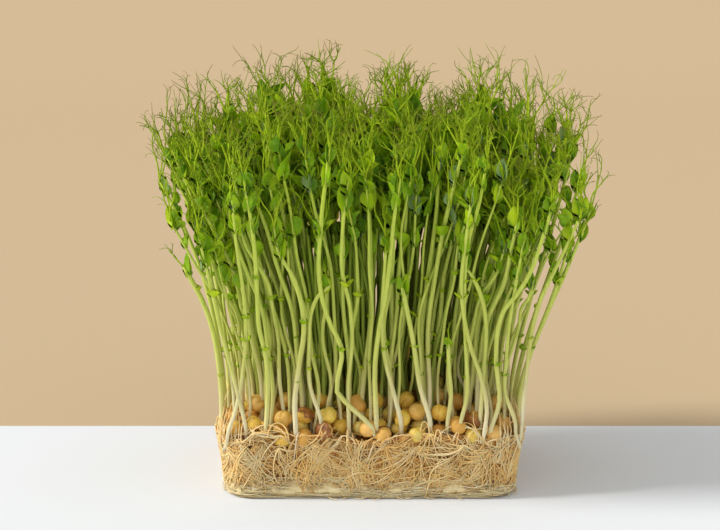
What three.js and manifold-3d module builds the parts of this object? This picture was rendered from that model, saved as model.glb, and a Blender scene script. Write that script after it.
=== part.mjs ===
// A block of pea shoots lifted out of its growing tray: a mat of matted roots that keeps the tray's
// shape, a bed of sprouted peas on it, and leafy shoots that stand in the pea bed.
// Millimetres, +Z up, the wide side along X. The origin is the centre of the mat's underside.
import * as THREE from "three";
import Module from "manifold-3d";

const wasm = await Module();
wasm.setup();

// ---- Driving dimensions ----
const MAT = {
  top: { width: 146, depth: 102, corner: 17 }, // outline at the rim, where the tray was widest
  bottom: { width: 138, depth: 94, corner: 14 },
  floor: 22, // height of the bed that the peas lie on
  rim: 32, // mean height of the roots that climbed the tray's wall
  rimSwell: 3.5, // how far the rim rises and falls about its mean
  rimWidth: 2.8,
  rimDraft: 0.8, // how much wider the rim is at its floor
  foot: 2.6, // how far the underside's edge is rounded in and up
  columns: 128,
  rows: 7,
  bundle: { relief: 1.1, atRim: 0.45, first: 14, second: 19 }, // heights and widths of the root bundles
  rough: 0.35,
};
const PEAS = {
  pitch: 9.4, // distance between the centres of neighbouring peas
  jitter: 0.7,
  inset: 9.6, // from the rim's outline to the outermost centres
  bottom: 22.4,
  top: 36, // of a pea at the border
  heap: 8, // how much higher the peas lie in the middle
  slope: 24, // width of the border over which the heap rises
  topSwell: 1.3,
  shoulder: { radius: 3.05, drop: 1.8 }, // the ring below a pea's crown
  gapDepth: 5.8, // from a pea's crown down to the pits between peas
};
const FEET = {
  columns: 8,
  rows: 6,
  reach: { x: 65, y: 43 },
  jitter: 2.2,
  apart: 9.5, // least distance between two feet
  z: 24, // where the stems end, down among the peas
  socket: 3.5, // from a socket's middle to its corners
  gap: 0.5, // below the stem's end
};
const STEM = {
  footRadius: 1.35, // to the corners of the squarish section, down in the pea bed
  radius: 1.65,
  tipRadius: 1.0,
  emerge: 46.5, // where the second shoot leaves the first, clear of the peas
  spread: 7.5, // distance between the two shoots of one foot
  firstBend: 80, // of a second shoot
  fan: { x: 0.7, y: 0.6, from: 60, height: 120, curve: 1.4 }, // share by which the stand widens
  lean: 8,
  wobble: 2.2,
  keepApart: 6.2, // least distance between two stems
  tip: 163,
  tipSwell: 26,
  edgeDrop: 36, // how much shorter the shoots are at the stand's ends
  edgeCurve: 2.5, // the higher, the nearer to the ends the shortening starts
};
const NODE = { height: 3, lower: 42 }; // leaf joints: their height and the lower one's drop from the tip
const LEAF = { length: 11, width: 8, thickness: 0.9, rise: 0.75, cup: 1.1, grown: [0.8, 1.1] };
const TENDRIL = {
  radius: 0.55,
  rise: 12,
  reach: [3.8, 7.5],
  branch: [9, 13],
  tilt: [0.35, 0.9], // how flat the branches lie
  spread: 1.25, // radians between branches
  stray: 0.25,
};
const CLEAR = { gap: 0.5, leaf: 1, leafRoot: 2.2 }; // least gap to a neighbour, and a leaf's own girth

const GREEN = new THREE.MeshStandardMaterial({ color: 0x7fa63a, roughness: 0.6, metalness: 0 });
const ROOT = new THREE.MeshStandardMaterial({ color: 0xd9c193, roughness: 0.9, metalness: 0 });
const PEA = new THREE.MeshStandardMaterial({ color: 0xd9b25c, roughness: 0.6, metalness: 0 });

// ---- Small tools ----
// A repeatable draw from 0 to 1: choice number k of thing number n.
function draw(n, k) {
  let h = Math.imul(n + 1, 0x9e3779b1) ^ Math.imul(k + 1, 0x85ebca6b);
  h = Math.imul(h ^ (h >>> 15), 0x2c1b3c6d);
  h = Math.imul(h ^ (h >>> 12), 0x297a2d39);
  return ((h ^ (h >>> 15)) >>> 0) / 4294967296;
}
const either = (n, k) => 2 * draw(n, k) - 1; // the same from -1 to 1
const lerp = (a, b, t) => a + (b - a) * t;
const pick = ([low, high], n, k) => lerp(low, high, draw(n, k));
const at = (x, y, z) => new THREE.Vector3(x, y, z);

// Collects corners and triangles by hand.
class Skin {
  constructor() {
    this.points = [];
    this.faces = [];
  }
  add(v) {
    this.points.push(v.x, v.y, v.z);
    return this.points.length / 3 - 1;
  }
  face(a, b, c) {
    this.faces.push(a, b, c);
  }
  // Two triangles for a four-cornered patch, its corners in turn seen from outside.
  patch(a, b, c, d) {
    this.face(a, b, c);
    this.face(a, c, d);
  }
  place(i) {
    return at(...this.points.slice(3 * i, 3 * i + 3));
  }
  solid() {
    const vertProperties = new Float32Array(this.points);
    const triVerts = new Uint32Array(this.faces);
    return new wasm.Manifold(new wasm.Mesh({ numProp: 3, vertProperties, triVerts }));
  }
}

function geometryOf(solid) {
  const mesh = solid.getMesh();
  const made = new THREE.BufferGeometry();
  made.setAttribute("position", new THREE.BufferAttribute(mesh.vertProperties, 3));
  made.setIndex(new THREE.BufferAttribute(mesh.triVerts, 1));
  made.computeVertexNormals();
  return made;
}

function named(name, solid, material) {
  const mesh = new THREE.Mesh(geometryOf(solid), material);
  mesh.name = name;
  return mesh;
}

// ---- Root mat ----
// The point and outward normal at share u of the way round a rectangle with round corners.
function outline({ width, depth, corner }, u) {
  const straightX = width - 2 * corner;
  const straightY = depth - 2 * corner;
  const arc = (Math.PI / 2) * corner;
  let run = u * 2 * (straightX + straightY + 2 * arc);
  const turns = [0, 1, 2, 3].map((q) => ({ q, straight: q % 2 ? straightY : straightX }));
  for (const { q, straight } of turns) {
    const turn = (q * Math.PI) / 2;
    const side = { x: Math.cos(turn), y: Math.sin(turn) };
    const out = { x: side.y, y: -side.x };
    const half = (q % 2 ? width : depth) / 2;
    if (run <= straight) {
      const along = run - straight / 2;
      return {
        x: side.x * along + out.x * half,
        y: side.y * along + out.y * half,
        nx: out.x,
        ny: out.y,
      };
    }
    run -= straight;
    if (run <= arc || q === 3) {
      const angle = turn - Math.PI / 2 + run / corner;
      const nx = Math.cos(angle);
      const ny = Math.sin(angle);
      const cx = side.x * (straight / 2) + out.x * (half - corner);
      const cy = side.y * (straight / 2) + out.y * (half - corner);
      return { x: cx + corner * nx, y: cy + corner * ny, nx, ny };
    }
    run -= arc;
  }
}

// Height of the root bundles that cross the wall: two sets that slant either way and wander.
function bundles(run, z, n) {
  const drift = 3 * Math.sin(run / 23 + z / 17) + 2 * Math.sin(run / 9 - z / 12);
  const first = Math.sin((2 * Math.PI * (run + 0.9 * z + drift)) / MAT.bundle.first);
  const second = Math.sin((2 * Math.PI * (run - 1.3 * z - 2 * drift)) / MAT.bundle.second);
  return MAT.bundle.relief * (Math.max(first, second) - 1) + MAT.rough * either(n, 0);
}

function rimHeight(run) {
  const swell = Math.sin(run / 11) + 0.6 * Math.sin(run / 5.3 + 1) + 0.5 * Math.sin(run / 29 + 2);
  return MAT.rim + (MAT.rimSwell * swell) / 2;
}

function rootMat() {
  const skin = new Skin();
  const perimeter = 2 * (MAT.top.width + MAT.top.depth) - 8 * MAT.top.corner + 2 * Math.PI * MAT.top.corner;
  const rings = [];
  for (let j = 0; j <= MAT.rows; j++) {
    rings.push(
      Array.from({ length: MAT.columns }, (_, i) => {
        const u = (i + (j % 2) / 2) / MAT.columns;
        const run = u * perimeter;
        const top = outline(MAT.top, u % 1);
        const low = outline(MAT.bottom, u % 1);
        const share = j / MAT.rows;
        const z = j === 0 ? 0 : lerp(MAT.foot, rimHeight(run), (j - 1) / (MAT.rows - 1));
        const ridge = bundles(run, z, 5000 + j * MAT.columns + i) * lerp(1, MAT.bundle.atRim, share);
        const stand = j === 0 ? -MAT.foot : ridge;
        const x = lerp(low.x, top.x, share) + top.nx * stand;
        const y = lerp(low.y, top.y, share) + top.ny * stand;
        return skin.add(at(x, y, z));
      }),
    );
  }
  // Inside the rim the wall drops to the floor that the peas lie on.
  const inner = [MAT.rim - 1, MAT.floor].map((z, drop) =>
    Array.from({ length: MAT.columns / 2 }, (_, i) => {
      const p = outline(MAT.top, (2 * i + (MAT.rows % 2) / 2) / MAT.columns);
      const inset = MAT.rimWidth + MAT.rimDraft * drop;
      return skin.add(at(p.x - p.nx * inset, p.y - p.ny * inset, z));
    }),
  );
  for (let j = 0; j < MAT.rows; j++) {
    const low = rings[j];
    const high = rings[j + 1];
    for (let i = 0; i < MAT.columns; i++) {
      const next = (i + 1) % MAT.columns;
      if (j % 2) {
        skin.face(low[i], high[next], high[i]);
        skin.face(low[i], low[next], high[next]);
      } else {
        skin.face(low[i], low[next], high[i]);
        skin.face(low[next], high[next], high[i]);
      }
    }
  }
  const rim = rings[MAT.rows];
  for (let i = 0; i < MAT.columns / 2; i++) {
    const next = (i + 1) % (MAT.columns / 2);
    const [a, b, c] = [rim[2 * i], rim[2 * i + 1], rim[(2 * i + 2) % MAT.columns]];
    skin.face(a, b, inner[0][i]);
    skin.face(b, inner[0][next], inner[0][i]);
    skin.face(b, c, inner[0][next]);
    skin.patch(inner[0][i], inner[0][next], inner[1][next], inner[1][i]);
  }
  closeFlat(skin, inner[1], true);
  closeFlat(skin, rings[0], false);
  return skin.solid();
}

// Fills a flat ring of corners that runs anticlockwise from above.
function closeFlat(skin, ring, facesUp) {
  const flat = ring.map((i) => skin.place(i));
  for (const [a, b, c] of THREE.ShapeUtils.triangulateShape(flat, [])) {
    if (facesUp) skin.face(ring[a], ring[b], ring[c]);
    else skin.face(ring[a], ring[c], ring[b]);
  }
}

// ---- Pea bed ----
const ROW = (PEAS.pitch * Math.sqrt(3)) / 2;
const peaNumber = (q, r) => 1000 + (q + 40) * 90 + (r + 40);

// The centre of pea (q, r) of a honeycomb of peas, each a little out of place.
function peaCentre(q, r) {
  const n = peaNumber(q, r);
  return {
    x: PEAS.pitch * (q + r / 2) + PEAS.jitter * either(n, 1),
    y: ROW * r + PEAS.jitter * either(n, 2),
  };
}

// How far a point lies inside the rim's outline.
function inset({ x, y }) {
  const { width, depth, corner } = MAT.top;
  const dx = Math.abs(x) - (width / 2 - corner);
  const dy = Math.abs(y) - (depth / 2 - corner);
  return corner - Math.hypot(Math.max(dx, 0), Math.max(dy, 0)) - Math.min(Math.max(dx, dy), 0);
}

// Height of the crowns of the peas near a point.
function heapHeight(point) {
  const share = THREE.MathUtils.clamp((inset(point) - PEAS.inset) / PEAS.slope, 0, 1);
  return PEAS.top + PEAS.heap * share * (2 - share);
}

// The pits round pea (q, r), anticlockwise, each as [kind, q, r]. A pit lies between three peas.
const pitsRound = (q, r) => [
  ["u", q, r],
  ["d", q - 1, r],
  ["u", q - 1, r],
  ["d", q - 1, r - 1],
  ["u", q, r - 1],
  ["d", q, r - 1],
];

function peasRound([kind, q, r]) {
  return kind === "u"
    ? [[q, r], [q + 1, r], [q, r + 1]]
    : [[q + 1, r], [q, r + 1], [q + 1, r + 1]];
}

function pitPlace(pit) {
  const around = peasRound(pit).map(([q, r]) => peaCentre(q, r));
  return {
    x: (around[0].x + around[1].x + around[2].x) / 3,
    y: (around[0].y + around[1].y + around[2].y) / 3,
  };
}

function allPeas() {
  const found = [];
  for (let r = -8; r <= 8; r++)
    for (let q = -14; q <= 14; q++) {
      if (inset(peaCentre(q, r)) > PEAS.inset) found.push([q, r]);
    }
  return found;
}

// Where shoots stand: the pits nearest to a loose grid, none next to another.
function allFeet(peas) {
  const kept = new Set(peas.map(String));
  const pits = new Map();
  for (const [q, r] of peas)
    for (const pit of pitsRound(q, r))
      if (peasRound(pit).every((pea) => kept.has(String(pea)))) pits.set(String(pit), pitPlace(pit));
  const feet = [];
  for (let row = 0; row < FEET.rows; row++)
    for (let column = 0; column < FEET.columns; column++) {
      const n = row * FEET.columns + column;
      const x = lerp(-FEET.reach.x, FEET.reach.x, column / (FEET.columns - 1)) + FEET.jitter * either(n, 3);
      const y = lerp(-FEET.reach.y, FEET.reach.y, row / (FEET.rows - 1)) + FEET.jitter * either(n, 4);
      let best = null;
      for (const [key, p] of pits) {
        const far = Math.hypot(p.x - x, p.y - y);
        const isFree = feet.every((foot) => Math.hypot(p.x - foot.x, p.y - foot.y) > FEET.apart);
        if (isFree && (!best || far < best.far)) best = { key, ...p, far };
      }
      feet.push(best);
    }
  return feet;
}

// Each pea is a dome: a crown, a shoulder ring, and the pits that it shares with its neighbours.
// A pit that a shoot stands in is a three-sided socket, its corners in the valleys between the peas.
function peaBed(peas, feet) {
  const skin = new Skin();
  const made = new Map();
  const footPits = new Set(feet.map((foot) => foot.key));
  const holes = [];
  // The corner at which pea (q, r) meets a pit, on the side of the valley towards another pit.
  const corner = (pit, k, towards) => {
    const isHole = footPits.has(String(pit));
    const valley = isHole ? valleyAngle(k, towards) : 0;
    const key = String(pit) + (isHole ? " " + valley : "");
    if (!made.has(key)) {
      const middle = pitPlace(pit);
      const reach = isHole ? FEET.socket : 0;
      const angle = THREE.MathUtils.degToRad(valley);
      const x = middle.x + reach * Math.cos(angle);
      const y = middle.y + reach * Math.sin(angle);
      made.set(key, skin.add(at(x, y, heapHeight(middle) - PEAS.gapDepth)));
    }
    return made.get(key);
  };
  const edges = new Map();
  for (const [q, r] of peas) {
    const n = peaNumber(q, r);
    const centre = peaCentre(q, r);
    const top = heapHeight(centre) + PEAS.topSwell * either(n, 5);
    const crown = skin.add(at(centre.x, centre.y, top));
    const ring = Array.from({ length: 6 }, (_, k) => {
      const angle = ((1 + 2 * k) * Math.PI) / 6;
      const x = centre.x + PEAS.shoulder.radius * Math.cos(angle);
      const y = centre.y + PEAS.shoulder.radius * Math.sin(angle);
      return skin.add(at(x, y, top - PEAS.shoulder.drop));
    });
    pitsRound(q, r).forEach((pit, k, pits) => {
      const next = (k + 1) % 6;
      const [from, to] = [corner(pit, k, 1), corner(pits[next], next, -1)];
      const arrived = corner(pit, k, -1);
      skin.face(crown, ring[k], ring[next]);
      skin.patch(ring[k], from, to, ring[next]);
      if (arrived !== from) {
        skin.face(ring[k], arrived, from);
        holes.push([arrived, from]);
      }
      edges.set(from, [...(edges.get(from) ?? []), to]);
    });
  }
  // An edge that only one pea uses is on the outside.
  const follows = new Map();
  for (const [a, ends] of edges) for (const b of ends) if (!edges.get(b)?.includes(a)) follows.set(a, b);
  const lowered = (z) => {
    const below = new Map();
    return (i) => {
      if (!below.has(i)) below.set(i, skin.add(skin.place(i).setZ(z)));
      return below.get(i);
    };
  };
  const wall = (a, b, under) => skin.patch(a, under(a), under(b), b);
  const underside = lowered(PEAS.bottom);
  follows.forEach((b, a) => wall(a, b, underside));
  closeFlat(skin, loopOf(follows, follows.keys().next().value).map(underside), false);
  const socket = lowered(FEET.z - FEET.gap);
  const round = new Map(holes);
  round.forEach((b, a) => wall(a, b, socket));
  for (const [a, b] of round) {
    const c = round.get(b);
    if (a < b && a < c) skin.face(...[c, b, a].map(socket));
  }
  return skin.solid();
}

function loopOf(follows, start) {
  const loop = [start];
  while (follows.get(loop.at(-1)) !== start) loop.push(follows.get(loop.at(-1)));
  return loop;
}

// Seen from a pea, pit k lies at 30 + 60 k degrees; the valleys to the next pits turn off from there.
const valleyAngle = (k, side) => (30 + 60 * k + side * 120 + 360) % 360;

// ---- Stems ----
const squareTurn = (shoot) => (draw(shoot, 6) * Math.PI) / 2;

// Tall in the middle of the stand, shorter at its ends.
function tipHeight(n, base) {
  const out = Math.min(1, Math.hypot(base.x / 76, base.y / 54));
  return STEM.tip + STEM.tipSwell * draw(n, 30) - STEM.edgeDrop * out ** STEM.edgeCurve;
}

// Each shoot's path is a bent line, given by its corners. Shoots 2i and 2i + 1 share foot i.
function shootPaths(feet) {
  return feet.flatMap((foot, i) => {
    const angle = 2 * Math.PI * draw(i, 7);
    const beside = at(Math.cos(angle), Math.sin(angle), 0).multiplyScalar(STEM.spread);
    const first = { n: 2 * i, base: foot };
    const second = { n: 2 * i + 1, base: { x: foot.x + beside.x, y: foot.y + beside.y } };
    first.tip = tipHeight(first.n, first.base);
    second.tip = tipHeight(second.n, second.base);
    const joint = first.tip - NODE.lower;
    return [
      [
        at(foot.x, foot.y, FEET.z),
        at(foot.x, foot.y, STEM.emerge),
        ...bends(first, [lerp(STEM.emerge, joint, 0.5), joint, first.tip]),
      ],
      [
        at(foot.x, foot.y, STEM.emerge - STEM.radius),
        ...bends(second, [STEM.firstBend, lerp(STEM.firstBend, second.tip, 0.5), second.tip]),
      ],
    ];
  });
}

// Corners at the given heights of a stem that fans out from its base, leans and wobbles.
function bends({ n, base }, heights) {
  const { fan, lean, wobble } = STEM;
  return heights.map((z, level) => {
    const rise = Math.max(0, (z - fan.from) / fan.height);
    const wider = rise ** fan.curve;
    const stray = (k) => lean * Math.min(1, rise) * either(n, k) + wobble * either(n, k + 10 * (level + 1));
    return at(base.x * (1 + fan.x * wider) + stray(8), base.y * (1 + fan.y * wider) + stray(9), z);
  });
}

// Where height z falls on a path: the corner below it and the share of the way to the next one.
function onPath(path, z) {
  let k = 0;
  while (k < path.length - 2 && z > path[k + 1].z) k++;
  return { k, share: (z - path[k].z) / (path[k + 1].z - path[k].z) };
}

function pathAt(path, z) {
  const { k, share } = onPath(path, z);
  return path[k].clone().lerp(path[k + 1], share);
}

// Moves the corners round height z so that the path shifts by (dx, dy) there. Its foot stays.
function nudge(path, z, dx, dy) {
  const { k, share } = onPath(path, z);
  const isFoot = path[k].z <= STEM.emerge;
  const hold = [isFoot ? 0 : 1 - share, share];
  const scale = Math.min(3, 1 / (hold[0] ** 2 + hold[1] ** 2));
  hold.forEach((h, end) => {
    path[k + end].x += dx * h * scale;
    path[k + end].y += dy * h * scale;
  });
}

// Stems that come too close at any height push each other away.
function spreadPaths(paths) {
  const heights = [50, 54, 58, 62, ...Array.from({ length: 16 }, (_, i) => 70 + 8 * i)];
  const rounds = 30;
  for (let round = 0; round < rounds; round++)
    for (const z of heights)
      for (let a = 0; a < paths.length; a++)
        for (let b = a + 1; b < paths.length; b++) {
          if (z > paths[a].at(-1).z || z > paths[b].at(-1).z) continue;
          const p = pathAt(paths[a], z);
          const q = pathAt(paths[b], z);
          const twins = a % 2 === 0 && b === a + 1;
          const least = twins ? Math.min(STEM.keepApart, (z - STEM.emerge) / 5) : STEM.keepApart;
          const far = Math.hypot(p.x - q.x, p.y - q.y);
          if (far >= least || far === 0) continue;
          const push = (least - far) / (2 * far);
          nudge(paths[a], z, (p.x - q.x) * push, (p.y - q.y) * push);
          nudge(paths[b], z, (q.x - p.x) * push, (q.y - p.y) * push);
        }
}

// ---- Keeping neighbours clear ----
// What stands already: capsules from a to b with a radius, each of one shoot. The stem, and where
// leaves and tendrils spring from it, are roots: they may touch whatever else their shoot bears.
const standing = [];

function gapBetween(a0, a1, b0, b1) {
  const u = a1.clone().sub(a0);
  const v = b1.clone().sub(b0);
  const w = a0.clone().sub(b0);
  const [uu, uv, vv, uw, vw] = [u.dot(u), u.dot(v), v.dot(v), u.dot(w), v.dot(w)];
  const det = uu * vv - uv * uv;
  let s = det > 1e-9 ? THREE.MathUtils.clamp((uv * vw - vv * uw) / det, 0, 1) : 0;
  const t = THREE.MathUtils.clamp((uv * s + vw) / vv, 0, 1);
  s = THREE.MathUtils.clamp((uv * t - uw) / uu, 0, 1);
  return a0.clone().addScaledVector(u, s).distanceTo(b0.clone().addScaledVector(v, t));
}

const mayTouch = (c, s) => c.shoot === s.shoot && (c.isRoot || s.isRoot);
const girths = (c, s) => c.radius + s.radius + CLEAR.gap;
const isClear = (c, s) => mayTouch(c, s) || gapBetween(c.a, c.b, s.a, s.b) > girths(c, s);

// The first of the given sizes and turns whose shape keeps clear, if any does.
function findRoom(sizes, turns, shapeOf) {
  for (const size of sizes)
    for (const turn of turns) {
      const shape = shapeOf(size, turn);
      if (!shape.capsules.every((c) => standing.every((s) => isClear(c, s)))) continue;
      standing.push(...shape.capsules);
      return shape;
    }
  return null;
}

// ---- Leaves and tendrils, raised from one face of a stem ----
// A rounded blade from the patch [lower left, lower right, upper right, upper left].
function leafShape(n, middle, azimuth, size) {
  const out = at(Math.cos(azimuth), Math.sin(azimuth), 0);
  const along = out.clone().add(at(0, 0, LEAF.rise)).normalize();
  const across = at(-out.y, out.x, 0);
  const up = along.clone().cross(across);
  const place = (l, w, lift) =>
    middle
      .clone()
      .addScaledVector(along, l * LEAF.length * size)
      .addScaledVector(across, (w * LEAF.width * size) / 2)
      .addScaledVector(up, lift);
  const rim = [
    place(0.34, 0.95, LEAF.cup),
    place(0.78, 0.8, LEAF.cup),
    place(1, 0, LEAF.cup / 2),
    place(0.78, -0.8, LEAF.cup),
    place(0.34, -0.95, LEAF.cup),
  ];
  const lines = [[place(0.25, 0, 0), rim[2]], ...[0, 1, 2, 3].map((i) => [rim[i], rim[i + 1]])];
  return {
    rim,
    upper: place(0.55, 0, LEAF.thickness / 2),
    lower: place(0.55, 0, -LEAF.thickness / 2),
    capsules: [
      { a: middle, b: place(0.3, 0, 0), radius: CLEAR.leafRoot, shoot: n, isRoot: true },
      ...lines.map(([a, b]) => ({ a, b, radius: CLEAR.leaf, shoot: n })),
    ],
  };
}

function raiseLeaf(skin, patch, leaf) {
  const [lowLeft, lowRight, highRight, highLeft] = patch;
  const rim = leaf.rim.map((p) => skin.add(p));
  const upper = skin.add(leaf.upper);
  const lower = skin.add(leaf.lower);
  const above = [highLeft, ...rim.toReversed(), highRight];
  const below = [lowRight, ...rim, lowLeft];
  for (let i = 0; i < above.length - 1; i++) {
    skin.face(upper, above[i], above[i + 1]);
    skin.face(lower, below[i], below[i + 1]);
  }
  skin.face(upper, highRight, highLeft);
  skin.face(lower, lowLeft, lowRight);
  skin.face(highRight, rim[0], lowRight);
  skin.face(highLeft, lowLeft, rim[4]);
}

// A tendril bends at its middle. A branched one ends in three points, a plain one in one.
function tendrilShape(n, k, start, azimuth, size, isBranched) {
  const out = at(Math.cos(azimuth), Math.sin(azimuth), 0);
  const bend = start.clone().addScaledVector(out, pick(TENDRIL.reach, n, 40 + k) * size);
  bend.z += TENDRIL.rise * size;
  const tips = (isBranched ? [-1, 0, 1] : [0]).map((side, i) => {
    const choice = 4 * k + i;
    const turn = azimuth + TENDRIL.spread * side + TENDRIL.stray * either(n, 50 + choice);
    const far = pick(TENDRIL.branch, n, 70 + choice) * size;
    const tilt = pick(TENDRIL.tilt, n, 90 + choice);
    const branch = at(tilt * Math.cos(turn), tilt * Math.sin(turn), 1 - tilt / 2);
    return bend.clone().addScaledVector(branch, far);
  });
  const piece = { radius: TENDRIL.radius, shoot: n };
  return {
    bend,
    tips,
    capsules: [
      { a: start, b: bend, ...piece, isRoot: true },
      { a: start.clone().lerp(bend, 0.4), b: bend, ...piece },
      ...tips.map((tip) => ({ a: bend, b: tip, ...piece })),
    ],
  };
}

function raiseTendril(skin, base, tendril) {
  const corners = base.map((i) => skin.place(i));
  const middle = corners[0].clone().add(corners[1]).add(corners[2]).divideScalar(3);
  const ring = corners.map((c) => skin.add(c.sub(middle).setLength(TENDRIL.radius).add(tendril.bend)));
  for (let i = 0; i < 3; i++) skin.patch(base[i], base[(i + 1) % 3], ring[(i + 1) % 3], ring[i]);
  if (tendril.tips.length === 1) {
    const tip = skin.add(tendril.tips[0]);
    for (let i = 0; i < 3; i++) skin.face(ring[i], ring[(i + 1) % 3], tip);
    return;
  }
  const heart = skin.add(tendril.bend);
  const order = tipsByCorner(skin, ring, tendril);
  for (let i = 0; i < 3; i++) {
    const [a, b] = [ring[i], ring[(i + 1) % 3]];
    const tip = skin.add(order[i]);
    skin.face(a, b, tip);
    skin.face(b, heart, tip);
    skin.face(heart, a, tip);
  }
}

// Gives each side of the ring the tip that lies most nearly its way, so that branches don't cross.
function tipsByCorner(skin, ring, { bend, tips }) {
  const corner = (i) => skin.place(ring[i]).sub(bend);
  const sides = [0, 1, 2].map((i) => corner(i).add(corner((i + 1) % 3)));
  const orders = [[0, 1, 2], [0, 2, 1], [1, 0, 2], [1, 2, 0], [2, 0, 1], [2, 1, 0]];
  const score = (order) => order.reduce((sum, t, i) => sum + tips[t].clone().sub(bend).dot(sides[i]), 0);
  orders.sort((a, b) => score(b) - score(a));
  return orders[0].map((t) => tips[t]);
}

// ---- A shoot: a square stem, leaf pairs at its joints and tendrils at its tip ----
function shoot(n, path) {
  const skin = new Skin();
  const tip = path.at(-1).z;
  const isFirst = n % 2 === 0;
  const joints = isFirst ? [tip - NODE.lower, tip - NODE.height] : [tip - NODE.height];
  const corners = path.map((p) => p.z);
  const heights = [...new Set([...corners, ...joints, ...joints.map((z) => z + NODE.height)])];
  heights.sort((a, b) => a - b);
  const rings = heights.map((z, j) => {
    const middle = pathAt(path, z);
    const share = (z - FEET.z) / (tip - FEET.z);
    const foot = isFirst ? STEM.footRadius : 0.6 * STEM.footRadius;
    const radius = z > STEM.emerge ? lerp(STEM.radius, STEM.tipRadius, share) : foot;
    return [0, 1, 2, 3].map((k) => {
      const angle = squareTurn(n) + (k * Math.PI) / 2;
      return skin.add(at(middle.x + radius * Math.cos(angle), middle.y + radius * Math.sin(angle), z));
    });
  });
  skin.patch(rings[0][3], rings[0][2], rings[0][1], rings[0][0]);
  for (let j = 0; j < heights.length - 1; j++)
    for (let k = 0; k < 4; k++) {
      const next = (k + 1) % 4;
      const patch = [rings[j][k], rings[j][next], rings[j + 1][next], rings[j + 1][k]];
      const bearsLeaf = joints.includes(heights[j]) && k % 2 === 0;
      const leaf = bearsLeaf && leafOn(n, k, pathAt(path, heights[j] + NODE.height / 2));
      if (leaf) raiseLeaf(skin, patch, leaf);
      else skin.patch(...patch);
    }
  const last = rings.at(-1);
  const crown = skin.add(path.at(-1).clone().add(at(0, 0, 0.8)));
  for (let k = 0; k < 4; k++) {
    const base = [last[k], last[(k + 1) % 4], crown];
    const tendril = k < 3 && tendrilOn(n, k, path.at(-1));
    if (tendril) raiseTendril(skin, base, tendril);
    else skin.face(...base);
  }
  return skin.solid();
}

const faceAngle = (n, k) => squareTurn(n) + ((k + 0.5) * Math.PI) / 2;

function leafOn(n, k, middle) {
  const grown = pick(LEAF.grown, n, 110 + k);
  return findRoom([1, 0.82, 0.68], [0, 0.3, -0.3], (size, turn) =>
    leafShape(n, middle, faceAngle(n, k) + turn, size * grown),
  );
}

function tendrilOn(n, k, start) {
  return findRoom([1, 0.8, 0.6], [0, 0.4, -0.4], (size, turn) =>
    tendrilShape(n, k, start, faceAngle(n, k) + turn, size, k % 2 === 0),
  );
}

// ---- The whole block ----
const peas = allPeas();
const feet = allFeet(peas);
const paths = shootPaths(feet);
spreadPaths(paths);
paths.forEach((path, n) => {
  for (let k = 0; k < path.length - 1; k++)
    standing.push({ a: path[k], b: path[k + 1], radius: STEM.radius, shoot: n, isRoot: true });
});

const block = new THREE.Group();
block.add(named("root_mat", rootMat(), ROOT));
block.add(named("pea_bed", peaBed(peas, feet), PEA));
feet.forEach((_, i) => {
  const pair = shoot(2 * i, paths[2 * i]).add(shoot(2 * i + 1, paths[2 * i + 1]));
  block.add(named("shoots_" + String(i + 1).padStart(2, "0"), pair, GREEN));
});

export default block;
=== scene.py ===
"""The looks of a block of pea shoots lifted out of its tray: a mat of roots, a bed of sprouted peas and
the shoots that stand in it. Everything is worked out in millimetres and goes into Blender in metres.
Plants grow here by the same rule, and from the same draws, as the solids that they stand for."""

import math
from functools import lru_cache

import bpy
import numpy as np
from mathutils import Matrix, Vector


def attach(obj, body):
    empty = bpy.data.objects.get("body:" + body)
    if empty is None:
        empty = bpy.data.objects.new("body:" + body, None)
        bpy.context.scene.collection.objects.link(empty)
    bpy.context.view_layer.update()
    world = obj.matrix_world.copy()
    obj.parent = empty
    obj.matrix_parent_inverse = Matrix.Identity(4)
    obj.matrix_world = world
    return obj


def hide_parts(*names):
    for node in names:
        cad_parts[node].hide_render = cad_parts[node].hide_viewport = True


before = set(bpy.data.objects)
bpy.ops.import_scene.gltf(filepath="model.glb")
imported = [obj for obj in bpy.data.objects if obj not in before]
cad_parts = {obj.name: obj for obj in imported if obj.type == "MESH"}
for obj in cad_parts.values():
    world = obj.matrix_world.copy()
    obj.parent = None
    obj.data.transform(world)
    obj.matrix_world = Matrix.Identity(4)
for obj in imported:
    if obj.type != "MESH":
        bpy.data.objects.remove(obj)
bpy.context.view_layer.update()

# ---- The named dimensions that the solids are made from ----
MAT = {
    "top": (146, 102, 17),
    "bottom": (138, 94, 14),
    "rim": 32,
    "swell": 3.5,
    "bundles": (14, 19),
    "relief": 1.1,
}
PEAS = {"pitch": 9.4, "jitter": 0.7, "inset": 9.6, "top": 36, "heap": 8, "slope": 24, "swell": 1.3}
FEET = {"columns": 8, "rows": 6, "reach": (65, 43), "jitter": 2.2, "apart": 9.5, "z": 24}
STEM = {"emerge": 46.5, "radius": 1.65, "spread": 7.5, "first_bend": 80, "apart": 6.2}
FAN = {"x": 0.7, "y": 0.6, "from": 60, "height": 120, "curve": 1.4}
LEAN, WOBBLE = 8, 2.2
STAND = (76, 54)  # half the stand's width and depth, which the way out is measured by
TIP = {"mean": 163, "swell": 26, "edge_drop": 36, "edge_curve": 2.5}
JOINT = {"height": 3, "lower": 42}
LEAF = {"length": 11, "width": 8, "rise": 0.75, "cup": 1.1, "grown": (0.8, 1.1)}
TENDRIL = {"radius": 0.55, "rise": 12, "reach": (3.8, 7.5), "branch": (9, 13), "tilt": (0.35, 0.9)}
SPREAD, STRAY = 1.25, 0.25
GAP, LEAF_GIRTH, LEAF_ROOT = 0.5, 1, 2.2

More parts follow.
